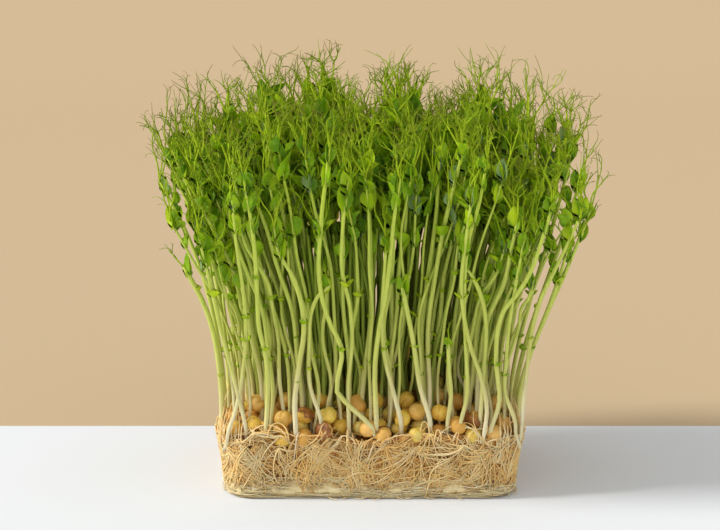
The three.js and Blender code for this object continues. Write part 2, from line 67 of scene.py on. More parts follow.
# ---- What only the scene has ----
BETWEEN = {"columns": 18, "rows": 10, "reach": (64, 40), "jitter": 2.4, "bow": 5, "shorter": 25}
ENDS = {"from": 46, "width": 18, "drop": 9}  # the shoots between are shorter at the stand's ends
BURIED = 14  # how far these shoots go down below the top of the heap
APART = 2.9  # how far these shoots stay from each other and from those of the solids
FILLERS = 150  # plain stems deep in the stand
BORDER = 0.62  # shoots whose feet are this share of the way out, or more, are made in full
STEM_POINTS = 30  # points along the line of a stem
# Things are numbered for their draws. The shoots of the solids start at 0.
BETWEEN_FROM, FILLERS_FROM, LEANING_FROM, FRONT_FROM, LOOSE_FROM = 400, 700, 800, 850, 7000
SEED = {"side": 500, "rim": 77, "bed": 88, "thick": 99, "pea": 2000, "shoot": 9000}
# Which of a shoot's three materials a face has.
ON_STEM, ON_BLADE, ON_TENDRIL = 0, 1, 2
SHARP = 140  # edges where faces turn by more degrees than this, such as a blade's rim, stay sharp


# ---- Draws ----
def draw(n, k):
    """A repeatable draw from 0 to 1: choice number k of thing number n."""
    h = ((n + 1) * 0x9E3779B1 ^ (k + 1) * 0x85EBCA6B) & 0xFFFFFFFF
    h = ((h ^ h >> 15) * 0x2C1B3C6D) & 0xFFFFFFFF
    h = ((h ^ h >> 12) * 0x297A2D39) & 0xFFFFFFFF
    return (h ^ h >> 15) / 4294967296


def either(n, k):
    return 2 * draw(n, k) - 1


def lerp(a, b, t):
    return a + (b - a) * t


def pick(span, n, k):
    return lerp(*span, draw(n, k))


def strays(n, k, far):
    """How far thing number n strays in x and in y, by choices k and k + 1."""
    return far * np.array([either(n, k), either(n, k + 1)])


def spot_in(reach, across, deep):
    """The point at shares of the way across and into a rectangle that reaches so far either way."""
    reach = np.array(reach)
    return lerp(-reach, reach, np.array([across, deep]))


def unit(v):
    v = np.asarray(v, float)
    return v / np.maximum(np.linalg.norm(v, axis=-1, keepdims=True), 1e-9)


def facing(angle, rise=0.0):
    """The way that an angle round the upright faces, with a rise if one is given."""
    return np.array([math.cos(angle), math.sin(angle), rise])


def ripple(points, size, seed):
    """A smooth random field over points, from about -1 to 1, whose bumps are about size across."""
    waves = np.random.default_rng(seed)
    total = np.zeros(points.shape[:-1])
    for _ in range(6):
        way = unit(waves.normal(size=3)) * 2 * math.pi / (size * waves.uniform(1.3, 2.6))
        total += np.sin(points @ way + waves.uniform(0, 6.3))
    return total / 3.2


# ---- Meshes ----
def put(name, data):
    """An object in the scene, of the given data."""
    made = bpy.data.objects.new(name, data)
    bpy.context.scene.collection.objects.link(made)
    return made


def put_mesh(name, points, faces, materials):
    """A smooth mesh in the scene, from points in metres."""
    mesh = bpy.data.meshes.new(name)
    mesh.from_pydata(points, [], faces)
    mesh.polygons.foreach_set("use_smooth", [True] * len(faces))
    for material in materials:
        mesh.materials.append(material)
    return put(name, mesh)


class Skin:
    """Collects triangles, with two numbers at each point that the materials read."""

    def __init__(self):
        self.points, self.faces, self.paints, self.tones, self.grows = [], [], [], [], []
        self.count = 0

    def add(self, points, faces, paint=0, tone=0.5, grow=0.5):
        points = points.reshape(-1, 3)
        faces = faces.reshape(-1, 3)
        self.points.append(points)
        self.faces.append(faces + self.count)
        self.paints.append(np.full(len(faces), paint))
        self.tones.append(np.broadcast_to(np.asarray(tone, float), len(points)))
        self.grows.append(np.broadcast_to(np.asarray(grow, float), len(points)))
        self.count += len(points)

    def piece(self, name, materials, slot, *nodes):
        made = put_mesh(name, np.concatenate(self.points) / 1000, np.concatenate(self.faces), materials)
        made.data.polygons.foreach_set("material_index", np.concatenate(self.paints))
        for key, values in (("tone", self.tones), ("grow", self.grows)):
            layer = made.data.attributes.new(key, "FLOAT", "POINT")
            layer.data.foreach_set("value", np.concatenate(values))
        made.data.set_sharp_from_angle(angle=math.radians(SHARP))
        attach(made, "root")
        if nodes:
            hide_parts(*nodes)


def sheet_faces(grid, is_closed=True):
    """Two triangles for each cell of a grid of point numbers, each of whose rows may close up."""
    if is_closed:
        grid = np.hstack([grid, grid[:, :1]])
    a, b, c, d = grid[:-1, :-1], grid[:-1, 1:], grid[1:, 1:], grid[1:, :-1]
    return np.stack([a, b, c, a, c, d], -1).reshape(-1, 3)


@lru_cache(None)
def tube_faces(count, sides):
    """The triangles of a closed tube of count rings."""
    k = np.arange(1, sides - 1)
    cap = np.stack([0 * k, k, k + 1], -1)
    side = sheet_faces(np.arange(count * sides).reshape(count, sides))
    return np.concatenate([side, cap[:, ::-1], cap + (count - 1) * sides])


@lru_cache(None)
def ball_faces(rows, columns):
    """The triangles of rings of points that two poles close. The poles' numbers follow the rings'."""
    k = np.arange(columns)
    after = (k + 1) % columns
    last = (rows - 1) * columns
    low = np.full(columns, rows * columns)
    side = sheet_faces(np.arange(rows * columns).reshape(rows, columns))
    ends = [np.stack([low, after, k], -1), np.stack([low + 1, last + k, last + after], -1)]
    return np.concatenate([side, *ends])


def tubes(skin, lines, radii, tone, sides=3, paint=0, grow=0.5, square=0.0):
    """Adds a tube along each line of an array of lines that all have as many points."""
    many, count, _ = lines.shape
    steps = np.diff(lines, axis=1)
    ways = unit(np.concatenate([steps[:, :1], steps[:, :-1] + steps[:, 1:], steps[:, -1:]], axis=1))
    aside = np.where(np.abs(ways[:, 0, 2:]) > 0.9, np.array([1.0, 0, 0]), np.array([0, 0, 1.0]))
    normals = np.empty_like(lines)
    normal = unit(np.cross(ways[:, 0], aside))
    for j in range(count):
        along = np.sum(normal * ways[:, j], axis=1, keepdims=True)
        normal = unit(normal - ways[:, j] * along)
        normals[:, j] = normal
    others = np.cross(ways, normals)
    angle = np.arange(sides) * 2 * math.pi / sides
    reach = np.broadcast_to(radii, (many, count))[:, :, None] * (1 + square * np.cos(4 * angle))
    rings = lines[:, :, None] + reach[..., None] * (
        np.cos(angle)[:, None] * normals[:, :, None] + np.sin(angle)[:, None] * others[:, :, None]
    )
    faces = tube_faces(count, sides)[None] + (np.arange(many) * count * sides)[:, None, None]
    tone = np.broadcast_to(np.reshape(tone, (-1, 1)), (many, count * sides))
    grow = np.repeat(np.broadcast_to(grow, (many, count)), sides, axis=1)
    skin.add(rings, faces, paint, tone.ravel(), grow.ravel())


def smooth(corners, count):
    """A smooth line of count points through corners."""
    corners = np.asarray(corners, float)
    steps = np.linalg.norm(np.diff(corners, axis=0), axis=1)
    knots = np.concatenate([[0], np.cumsum(steps)])
    slopes = np.gradient(corners, knots, axis=0)
    run = np.linspace(0, knots[-1], count)
    i = np.clip(np.searchsorted(knots, run, side="right") - 1, 0, len(steps) - 1)
    h = steps[i][:, None]
    t = (run[:, None] - knots[i][:, None]) / h
    return (
        corners[i] * (2 * t**3 - 3 * t**2 + 1)
        + slopes[i] * h * (t**3 - 2 * t**2 + t)
        + corners[i + 1] * (3 * t**2 - 2 * t**3)
        + slopes[i + 1] * h * (t**3 - t**2)
    )


# ---- The mat's outline and height ----
WIDTH, DEPTH, CORNER = MAT["top"]
PERIMETER = 2 * (WIDTH + DEPTH) - 8 * CORNER + 2 * math.pi * CORNER


def outline(shape, share):
    """Points and outward normals at shares of the way round a rectangle with round corners."""
    width, depth, corner = shape
    straight = (width - 2 * corner, depth - 2 * corner)
    arc = math.pi / 2 * corner
    run = (np.asarray(share, float) % 1) * 2 * (sum(straight) + 2 * arc)
    place = np.zeros(run.shape + (2,))
    normal = np.zeros(run.shape + (2,))
    left = np.ones(run.shape, bool)
    for quarter in range(4):
        turn = quarter * math.pi / 2
        side = facing(turn)[:2]
        out = np.array([side[1], -side[0]])
        long = straight[quarter % 2]
        half = (width if quarter % 2 else depth) / 2
        flat = left & (run <= long)
        place[flat] = side * (run[flat] - long / 2)[:, None] + out * half
        normal[flat] = out
        left &= ~flat
        run = run - long
        bend = left & ((run <= arc) | (quarter == 3))
        angle = turn - math.pi / 2 + run[bend] / corner
        normal[bend] = np.stack([np.cos(angle), np.sin(angle)], -1)
        place[bend] = side * (long / 2) + out * (half - corner) + corner * normal[bend]
        left &= ~bend
        run = run - arc
    return place, normal


def rim_height(share):
    run = np.asarray(share) % 1 * PERIMETER
    swell = np.sin(run / 11) + 0.6 * np.sin(run / 5.3 + 1) + 0.5 * np.sin(run / 29 + 2)
    return MAT["rim"] + MAT["swell"] * swell / 2


def wall(share, z, stand):
    """Points on the mat's side at heights z, standing out of it by stand."""
    up = np.clip(z / MAT["rim"], 0, 1)[..., None]
    low, _ = outline(MAT["bottom"], share)
    top, out = outline(MAT["top"], share)
    return np.concatenate([lerp(low, top, up) + out * stand[..., None], z[..., None]], axis=-1)


def bundles(share, z):
    """Depth of the root bundles that cross the wall: two sets that slant either way and wander."""
    run = np.asarray(share) * PERIMETER
    drift = 3 * np.sin(run / 23 + z / 17) + 2 * np.sin(run / 9 - z / 12)
    wide = MAT["bundles"]
    first = np.sin(2 * math.pi * (run + 0.9 * z + drift) / wide[0])
    second = np.sin(2 * math.pi * (run - 1.3 * z - 2 * drift) / wide[1])
    return MAT["relief"] * (np.maximum(first, second) - 1)


# ---- The bed of peas and where shoots stand ----
ROW = PEAS["pitch"] * math.sqrt(3) / 2


def pea_number(q, r):
    return 1000 + (q + 40) * 90 + (r + 40)


def pea_centre(q, r):
    centre = np.array([PEAS["pitch"] * (q + r / 2), ROW * r])
    return centre + strays(pea_number(q, r), 1, PEAS["jitter"])


def inset(point):
    """How far a point lies inside the rim's outline."""
    dx = abs(point[0]) - (WIDTH / 2 - CORNER)
    dy = abs(point[1]) - (DEPTH / 2 - CORNER)
    return CORNER - math.hypot(max(dx, 0), max(dy, 0)) - min(max(dx, dy), 0)


def heap_height(point):
    share = min(1, max(0, (inset(point) - PEAS["inset"]) / PEAS["slope"]))
    return PEAS["top"] + PEAS["heap"] * share * (2 - share)


def heap_heights(points):
    return np.array([heap_height(point) for point in points])


def pits_round(q, r):
    """The pits round a pea. Each lies between three peas, in a triangle that points up or down."""
    ups = [("u", q, r), ("u", q - 1, r), ("u", q, r - 1)]
    downs = [("d", q - 1, r), ("d", q - 1, r - 1), ("d", q, r - 1)]
    return [pit for pair in zip(ups, downs) for pit in pair]


def peas_round(pit):
    kind, q, r = pit
    rest = (q + 1, r), (q, r + 1)
    return ((q, r), *rest) if kind == "u" else (*rest, (q + 1, r + 1))


def all_peas():
    grid = [(q, r) for r in range(-8, 9) for q in range(-14, 15)]
    return [pea for pea in grid if inset(pea_centre(*pea)) > PEAS["inset"]]


def all_feet(peas):
    kept = set(peas)
    pits = {}
    for pea in peas:
        for pit in pits_round(*pea):
            if all(near in kept for near in peas_round(pit)):
                pits[pit] = sum(pea_centre(*near) for near in peas_round(pit)) / 3
    places = np.array(list(pits.values()))
    is_free = np.ones(len(places), bool)
    feet = []
    for n in range(FEET["rows"] * FEET["columns"]):
        row, column = divmod(n, FEET["columns"])
        spot = spot_in(FEET["reach"], column / (FEET["columns"] - 1), row / (FEET["rows"] - 1))
        spot += strays(n, 3, FEET["jitter"])
        far = np.where(is_free, np.hypot(*(places - spot).T), np.inf)
        foot = places[np.argmin(far)]
        feet.append(foot)
        is_free &= np.hypot(*(places - foot).T) > FEET["apart"]
    return feet


# ---- The paths that stems take ----
def way_out(point):
    """How far out in the stand a point lies, from 0 in the middle to about 1 at the border."""
    return math.hypot(point[0] / STAND[0], point[1] / STAND[1])


def tip_height(n, base):
    out = min(1, way_out(base))
    return TIP["mean"] + TIP["swell"] * draw(n, 30) - TIP["edge_drop"] * out ** TIP["edge_curve"]


def bends(n, base, heights):
    """Corners at the given heights of a stem that fans out from its base, leans and wobbles."""
    made = []
    for level, z in enumerate(heights):
        rise = max(0, (z - FAN["from"]) / FAN["height"])
        wider = rise ** FAN["curve"]
        stray = strays(n, 8, LEAN * min(1, rise)) + strays(n, 18 + 10 * level, WOBBLE)
        made.append([*(base * [1 + FAN["x"] * wider, 1 + FAN["y"] * wider] + stray), z])
    return made


def shoot_paths(feet):
    paths = []
    for i, foot in enumerate(feet):
        angle = 2 * math.pi * draw(i, 7)
        beside = foot + STEM["spread"] * facing(angle)[:2]
        first, second = tip_height(2 * i, foot), tip_height(2 * i + 1, beside)
        joint = first - JOINT["lower"]
        emerge, bend = STEM["emerge"], STEM["first_bend"]
        up = [[*foot, FEET["z"]], [*foot, emerge]]
        paths.append(up + bends(2 * i, foot, [lerp(emerge, joint, 0.5), joint, first]))
        fork = [[*foot, emerge - STEM["radius"]]]
        paths.append(fork + bends(2 * i + 1, beside, [bend, lerp(bend, second, 0.5), second]))
    return paths


def on_path(path, z):
    k = 0
    while k < len(path) - 2 and z > path[k + 1][2]:
        k += 1
    return k, (z - path[k][2]) / (path[k + 1][2] - path[k][2])


def path_at(path, z):
    k, share = on_path(path, z)
    return [lerp(path[k][i], path[k + 1][i], share) for i in range(3)]


def nudge(path, z, dx, dy):
    k, share = on_path(path, z)
    hold = (0 if path[k][2] <= STEM["emerge"] else 1 - share, share)
    scale = min(3, 1 / max(hold[0] ** 2 + hold[1] ** 2, 1e-9))
    for end, h in enumerate(hold):
        path[k + end][0] += dx * h * scale
        path[k + end][1] += dy * h * scale


def spread_paths(paths, rounds, apart, fixed=0):
    """Stems that come too close push each other away. The first few may be fixed."""
    heights = [*range(50, 63, 4), *range(70, 191, 8)]
    tips = np.array([path[-1][2] for path in paths])
    for z in [z for _ in range(rounds) for z in heights]:
        tall = np.flatnonzero(tips >= z)
        spots = np.array([path_at(paths[i], z)[:2] for i in tall])
        if len(tall) < 2:
            continue
        far = np.linalg.norm(spots[:, None] - spots[None], axis=2)
        near = np.argwhere(np.triu(far < apart + 6, 1))
        for a, b in tall[near]:
            if b < fixed:
                continue
            p, q = path_at(paths[a], z), path_at(paths[b], z)
            twins = not fixed and a % 2 == 0 and b == a + 1
            least = min(apart, (z - STEM["emerge"]) / 5) if twins else apart
            gap = math.hypot(p[0] - q[0], p[1] - q[1])
            if gap >= least or gap == 0:
                continue
            push = (least - gap) / (2 * gap)
            if a >= fixed:
                nudge(paths[a], z, (p[0] - q[0]) * push, (p[1] - q[1]) * push)
            else:
                push *= 2
            nudge(paths[b], z, (q[0] - p[0]) * push, (q[1] - p[1]) * push)


# ---- Where leaves and tendrils find room ----
# Sizes and turns, which are tried in this order until one finds room.
LEAF_TRIES = (1, 0.82, 0.68), (0, 0.3, -0.3)
TENDRIL_TRIES = (1, 0.8, 0.6), (0, 0.4, -0.4)


class Standing:
    """Capsules that stand already. Roots may touch whatever else their shoot bears."""

    def __init__(self, capsules):
        self.capsules = capsules

    def is_clear(self, capsules):
        b0, b1, radii, shoots, roots = map(np.array, zip(*self.capsules))
        for a0, a1, radius, shoot, root in capsules:
            u, v, w = a1 - a0, b1 - b0, a0 - b0
            uu, uv, vv = u @ u, v @ u, np.sum(v * v, axis=1)
            uw, vw = w @ u, np.sum(v * w, axis=1)
            det = uu * vv - uv * uv
            s = np.where(det > 1e-9, np.clip((uv * vw - vv * uw) / np.maximum(det, 1e-9), 0, 1), 0)
            t = np.clip((uv * s + vw) / vv, 0, 1)
            s = np.clip((uv * t - uw) / uu, 0, 1)
            gap = np.linalg.norm(w + u * s[:, None] - v * t[:, None], axis=1)
            own = (shoots == shoot) & (root | roots)
            if np.any(~own & (gap <= radius + radii + GAP)):
                return False
        return True

    def find_room(self, sizes, turns, shape_of):
        for size in sizes:
            for turn in turns:
                shape = shape_of(size, turn)
                if self.is_clear(shape["capsules"]):
                    self.capsules += shape["capsules"]
                    return shape
        return None


def leaf_shape(n, middle, azimuth, size):
    out = facing(azimuth)
    along = unit(out + [0, 0, LEAF["rise"]])
    across = np.array([-out[1], out[0], 0])
    up = np.cross(along, across)

    def place(far, wide, lift):
        sideways = across * wide * LEAF["width"] * size / 2
        return middle + along * far * LEAF["length"] * size + sideways + up * lift

    cup = LEAF["cup"]
    rim = [place(0.34, 0.95, cup), place(0.78, 0.8, cup), place(1, 0, cup / 2)]
    rim += [place(0.78, -0.8, cup), place(0.34, -0.95, cup)]
    lines = [(place(0.25, 0, 0), rim[2])] + [(rim[i], rim[i + 1]) for i in range(4)]
    capsules = [(middle, place(0.3, 0, 0), LEAF_ROOT, n, True)]
    capsules += [(a, b, LEAF_GIRTH, n, False) for a, b in lines]
    return {"middle": middle, "azimuth": azimuth, "size": size, "capsules": capsules}


def tendril_shape(n, k, start, azimuth, size, is_branched):
    out = facing(azimuth)
    bend = start + out * pick(TENDRIL["reach"], n, 40 + k) * size + [0, 0, TENDRIL["rise"] * size]
    tips = []
    for i, side in enumerate((-1, 0, 1) if is_branched else (0,)):
        choice = 4 * k + i
        turn = azimuth + SPREAD * side + STRAY * either(n, 50 + choice)
        far = pick(TENDRIL["branch"], n, 70 + choice) * size
        tilt = pick(TENDRIL["tilt"], n, 90 + choice)
        tips.append(bend + far * np.array([tilt * math.cos(turn), tilt * math.sin(turn), 1 - tilt / 2]))
    radius = TENDRIL["radius"]
    capsules = [(start, bend, radius, n, True), (lerp(start, bend, 0.4), bend, radius, n, False)]
    capsules += [(bend, tip, radius, n, False) for tip in tips]
    return {"start": start, "bend": bend, "tips": tips, "capsules": capsules}


def face_angle(n, k):
    return draw(n, 6) * math.pi / 2 + (k + 0.5) * math.pi / 2


def bear(standing, n, path):
    """The leaves and tendrils of a shoot, where its solid has them."""
    tip = path[-1][2]
    joints = [tip - JOINT["height"]]
    if n % 2 == 0:
        joints.insert(0, tip - JOINT["lower"])
    leaves, tendrils = [], []
    for z in joints:
        middle = np.array(path_at(path, z + JOINT["height"] / 2))
        for k in (0, 2):
            grown = pick(LEAF["grown"], n, 110 + k)

            def shape_of(size, turn):
                return leaf_shape(n, middle, face_angle(n, k) + turn, size * grown)

            leaves.append(standing.find_room(*LEAF_TRIES, shape_of))
    for k in (0, 1, 2):

        def shape_of(size, turn):
            return tendril_shape(n, k, np.array(path[-1]), face_angle(n, k) + turn, size, k % 2 == 0)

        tendrils.append(standing.find_room(*TENDRIL_TRIES, shape_of))
    return [leaf for leaf in leaves if leaf], [tendril for tendril in tendrils if tendril]


peas = all_peas()
feet = all_feet(peas)
paths = shoot_paths(feet)
spread_paths(paths, 30, STEM["apart"])
stems = [(n, corners) for n, path in enumerate(paths) for corners in zip(np.array(path), np.array(path[1:]))]
standing = Standing([(a, b, STEM["radius"], n, True) for n, (a, b) in stems])
borne = [bear(standing, n, path) for n, path in enumerate(paths)]

# ---- Shoots that stand between those of the solids ----
def between_paths():
    """Shorter shoots, bowed at the foot, that fill the stand."""
    made = []
    rows, columns = BETWEEN["rows"], BETWEEN["columns"]
    for i in range(rows * columns):
        n = BETWEEN_FROM + i
        row, column = divmod(i, columns)
        across = (column + 0.5 * (row % 2)) / (columns - 0.5)
        base = spot_in(BETWEEN["reach"], across, row / (rows - 1)) + strays(n, 3, BETWEEN["jitter"])
        base *= min(1, 1 + (inset(base) - 7) / 60)
        at_end = max(0, abs(base[0]) - ENDS["from"]) / ENDS["width"]
        tip = tip_height(n, base) - BETWEEN["shorter"] * draw(n, 5) ** 1.3 - ENDS["drop"] * at_end
        low = heap_height(base) - BURIED
        bow = strays(n, 12, BETWEEN["bow"])
        up = [[*(base + bow * draw(n, 14)), low], [*(base - bow / 3), low + BURIED]]
        made.append(up + bends(n, base, [56, 84, lerp(84, tip, 0.33), lerp(84, tip, 0.66), tip]))
    return made


between = between_paths()
solid_count = len(paths)
spread_paths(paths + between, 6, APART, fixed=solid_count)


def seen_line(n, path):
    """The smooth line of a stem. A second shoot comes up from its own pea beside the first."""
    corners = [list(corner) for corner in path]
    if n < solid_count and n % 2:
        foot, above = np.array(corners[0]), np.array(corners[1])
        aside = (above - foot)[:2]
        corners[0] = [*(foot[:2] + 0.55 * aside), 31]
        corners.insert(1, [*(foot[:2] + 0.62 * aside), 50])
    line = smooth(corners, STEM_POINTS)
    run = np.linspace(0, 1, STEM_POINTS)[:, None]
    kink = np.sin(run * 2 * math.pi * (2.2 + draw(n, 140))) * np.sin(run * math.pi)
    sway = 0.7 if n < solid_count else 1.0
    line[:, :2] += kink * sway * facing(2 * math.pi * draw(n, 141))[:2]
    return line


# ---- Leaves ----
LEAF_GRID, PLAIN_GRID, SCALE_GRID = (6, 5), (5, 3), (4, 3)
LEAF_THICKNESS = 0.3
PAIR = (0, 2.6)  # how far round the stem the two blades of a pair stand


@lru_cache(None)
def blade_faces(rows, columns):
    """Two sheets that share their edge."""
    upper = np.arange(rows * columns).reshape(rows, columns)
    lower = upper.copy()
    lower[1:-1, 1:-1] = rows * columns + np.arange((rows - 2) * (columns - 2)).reshape(rows - 2, columns - 2)
    sheets = sheet_faces(upper, False), sheet_faces(lower, False)[:, [0, 2, 1]]
    return np.concatenate([sheet.reshape(-1, 2, 3) for sheet in sheets], axis=1).reshape(-1, 3)


def blade(
    skin, middle, azimuth, size, rise, tone, cup=0.6, fold=0.2, curl=0.0, lobe=0.3, roll=0.0, grid=LEAF_GRID
):
    """A cupped blade, folded along its middle, that clasps the stem at middle and reaches up and out."""
    length, width = size
    rows, columns = grid
    out = facing(azimuth)
    along = unit(out + [0, 0, rise])
    level = np.array([-out[1], out[0], 0])
    up = np.cross(along, level)
    across = level * math.cos(roll) + up * math.sin(roll)
    up = np.cross(along, across)
    far, wide = np.meshgrid(np.linspace(0, 1, rows), np.linspace(-1, 1, columns), indexing="ij")
    half = width / 2 * (0.1 + np.sin(math.pi * np.clip(far, 0, 0.985) ** 0.78) ** 0.72)
    reach = length * (far - lobe * np.abs(wide) * (1 - far) ** 2 + 0.02)
    lift = cup * wide**2 * np.sin(math.pi * far) + fold * np.abs(wide) * half - curl * length * far**2
    lift += 0.06 * length * np.sin(5 * far + 4 * wide + 20 * tone) * np.abs(wide)
    upper = middle + along * reach[..., None] + across * (half * wide)[..., None] + up * lift[..., None]
    lower = (upper - up * LEAF_THICKNESS)[1:-1, 1:-1]
    points = np.concatenate([upper.reshape(-1, 3), lower.reshape(-1, 3)])
    vein = far - 0.35 * np.abs(wide)
    grow = np.concatenate([vein.ravel(), vein[1:-1, 1:-1].ravel()])
    skin.add(points, blade_faces(rows, columns), ON_BLADE, tone, grow)


# ---- Tendrils ----
def arcs(starts, ways, sides, turns, lengths, count):
    """Lines from starts along ways that bend towards sides, the more the nearer to their ends."""
    run = np.linspace(0, 1, count)
    angle = turns[:, None] * (0.25 * run + 0.75 * run**2) + 0.35 * np.sin(5 * run + 9 * turns[:, None])
    sides = unit(sides - ways * np.sum(sides * ways, axis=1, keepdims=True))
    heading = ways[:, None] * np.cos(angle)[..., None] + sides[:, None] * np.sin(angle)[..., None]
    steps = heading * (lengths / (count - 1))[:, None, None]
    steps = (steps + np.roll(steps, 1, axis=1)) / 2
    steps[:, 0] = 0
    return starts[:, None] + np.cumsum(steps, axis=1)


def off(lines, share):
    """The points and directions of lines at a share of their length."""
    spot = share * (lines.shape[1] - 1)
    k = np.clip(spot.astype(int), 0, lines.shape[1] - 2)
    each = np.arange(len(lines))
    way = lines[each, k + 1] - lines[each, k]
    return lines[each, k] + way * (spot - k)[:, None], unit(way)


def branches(lines, share, length, angle, wild, count):
    """A branch off each line at about a share of its length, which bends back up towards its end."""
    many = len(lines)
    start, way = off(lines, np.clip(share + wild.uniform(-0.07, 0.07, many), 0, 1))
    side = unit(np.cross(way, unit(wild.normal(size=(many, 3)) * [1, 1, 0.5])))
    tilt = wild.uniform(*angle, many)[:, None]
    heading = unit(way * np.cos(tilt) + side * np.sin(tilt) + [0, 0, 0.3])
    bend = unit(wild.normal(size=(many, 3)) - side * 0.4 + [0, 0, 0.2])
    turns = wild.uniform(0.5, 2.1, many) + (wild.random(many) < 0.12) * 2.2
    return arcs(start, heading, bend, turns, length * wild.uniform(0.6, 1.3, many), count)


# ---- A whole shoot ----
SCALE_LEAVES = ((56, 78), (84, 108))  # the heights between which each of the two lowest joints lies
# The upper joints, from the lowest: how far below the tip, how large the stipules are on shoots that
# are seen and on those deep in the stand, and how long the tendril is.
DROPS = (72, 56, 41, 27, 15, 5)
SEEN_SIZES = (0.72, 0.8, 0.9, 0.92, 0.88, 0.75)
DEEP_SIZES = (0.72, 0.8, 0.95, 1.05, 1.1, 1.0)
LENGTHS = (0.8, 1, 1.1, 1, 0.8)
TOP, MIDDLE = 5, 2  # the upper joints at which shoots of the solids have leaves
LEAFLET, STIPULE = (9.2, 5.6), (10.2, 5.6)  # length and width
PALE_SHARE = 0.05  # share of the stipules that are pale
LOWEST = (104, 120)  # between these heights the lowest stipules of a shoot start
AT_SIDE, LOWER = 60, 16  # shoots further out at the sides than this have them lower by so much
TALL = 118  # tips above this height have three tendrils, and those below it have one


class Shoot:
    """A stem with its scale leaves, stipules and tendrils. Those deep in the stand are made simpler."""

    def __init__(self, skin, n, line):
        self.skin, self.n, self.line = skin, n, line
        self.tip = line[-1][2]
        self.wild = np.random.default_rng(SEED["shoot"] + n)
        self.is_between = BETWEEN_FROM <= n < LEANING_FROM
        self.leans = LEANING_FROM <= n < FRONT_FROM
        self.in_front = n >= FRONT_FROM
        self.is_seen = way_out(line[0]) > BORDER
        self.tone = lerp(0.7, 1, draw(n, 150)) if self.leans else draw(n, 150)

    def at_height(self, z):
        return np.array([np.interp(z, self.line[:, 2], self.line[:, i]) for i in range(3)])

    def stem(self):
        last = STEM_POINTS - 1
        line = self.line if self.is_seen else self.line[[0, *range(1, last, 2), last]]
        thick = (0.84 if self.is_between else 1) * lerp(0.72, 1.0, draw(self.n, 151))
        heights = [30, 45, 110, self.tip - 30, self.tip]
        radii = thick * np.interp(line[:, 2], heights, [1.15, 1.25, 1.12, 1.05, 0.7])
        radii[-1] *= 0.6
        sides, square = (8, 0.05) if self.is_seen and not self.is_between else (6, 0)
        # the stems deep in the stand get a tone over 1, which paints shade on them
        tone = self.tone + (not self.is_seen)
        tubes(self.skin, line[None], radii, tone, sides, ON_STEM, line[:, 2] / 200, square)

    def scale_leaves(self):
        """Small scale leaves clasp the two lowest joints."""
        n = self.n
        for level, heights in enumerate(SCALE_LEAVES):
            z = pick(heights, n, 152 + level)
            if z > self.tip - 8 or not self.is_seen or draw(n, 220 + level) < 0.3:
                continue
            turn = 2 * math.pi * draw(n, 154 + level)
            size = lerp(2.4, 4.8, draw(n, 156 + level)) * (1 + 0.3 * level) * np.array([1, 0.85])
            tone = 0.2 + 0.4 * draw(n, 158 + level)
            for side in PAIR:
                shape = {"cup": 0.5, "lobe": 0.1, "grid": SCALE_GRID}
                blade(self.skin, self.at_height(z), turn + side, size, 0.9, tone, **shape)

    def leaf_tone(self):
        """How dark a leaf is, from 0 for the youngest."""
        return 0.27 + 0.5 * np.clip(0.35 * self.tone + self.wild.uniform(0, 0.85), 0, 1)

    def bent(self, **spans):
        """Ways in which a blade is bent, each drawn from its span."""
        return {key: self.wild.uniform(*span) for key, span in spans.items()}

    def borne_leaves(self, leaves):
        """The leaves that the solids have."""
        for leaf in leaves:
            length = (0.78 if leaf["middle"][2] > self.tip - 20 else 0.95) * LEAF["length"]
            size = leaf["size"] * length * np.array([1, 0.62 * self.wild.uniform(0.85, 1.0)])
            rise, tone = LEAF["rise"] + self.wild.uniform(0, 1.2), self.leaf_tone()
            bent = self.bent(cup=(0.1, 0.9), fold=(0.4, 1.0), curl=(-0.45, 0.2), roll=(-0.7, 0.7))
            blade(self.skin, leaf["middle"], leaf["azimuth"], size, rise, tone, **bent)

    def leaflets(self, stalk, size, grid):
        """A pair of leaflets on a tendril's stalk."""
        any_of = self.wild.uniform
        spot, way = off(stalk, np.full(1, any_of(0.35, 0.6)))
        turn = math.atan2(way[0, 1], way[0, 0])
        for side in (-1.2, 1.2):
            azimuth, rise = turn + side + any_of(-0.4, 0.4), any_of(0.6, 3)
            shape = size * any_of(0.85, 1.15) * np.array(LEAFLET)
            cup, fold, curl = any_of(0, 0.8), any_of(0.2, 0.8), any_of(-0.4, 0.2)
            tone, roll = self.leaf_tone(), any_of(-0.5, 0.5)
            blade(self.skin, spot[0], azimuth, shape, rise, tone, cup, fold, curl, 0.05, roll, grid)

    def stipules(self, middle, turn, grown, rise, grid):
        """A pair of blades that clasp the stem at a joint. A few are pale."""
        any_of = self.wild.uniform
        for side in PAIR:
            size = grown * any_of(0.8, 1.15) * np.array([STIPULE[0], STIPULE[1] * any_of(0.8, 1.2)])
            is_pale = self.wild.random() < PALE_SHARE
            azimuth, up = turn + side + any_of(-0.35, 0.35), any_of(*rise)
            tone = 1.0 if is_pale else self.leaf_tone()
            bent = self.bent(cup=(0.1, 1.1), fold=(0.35, 1.1), curl=(-0.5, 0.35), roll=(-0.8, 0.8))
            bent["cup"] *= grown
            blade(self.skin, middle, azimuth, size, up, tone, grid=grid, **bent)

    def twigs(self, lines, thick, age, sides=3):
        """Tendrils along lines. They get thinner towards their ends, and browner with age."""
        count = lines.shape[1]
        thick, age = np.linspace(*thick, count), np.linspace(*age, count)
        tubes(self.skin, lines, thick, self.tone, sides, ON_TENDRIL, age)

    def threads(self, stalk, length, shares, forked=0.28):
        """The fine threads that a tendril's stalk branches into, some of them branched again."""
        first = [branches(stalk, share, length, (0.08, 0.4), self.wild, 7) for share in shares]
        first = np.concatenate(first)
        self.twigs(first, (0.27, 0.1), (0.35, 0.95))
        again = first[self.wild.random(len(first)) < forked]
        if len(again):
            second = branches(again, 0.4, 0.6 * np.mean(length), (0.3, 0.75), self.wild, 5)
            self.twigs(second, (0.18, 0.1), (0.55, 1))

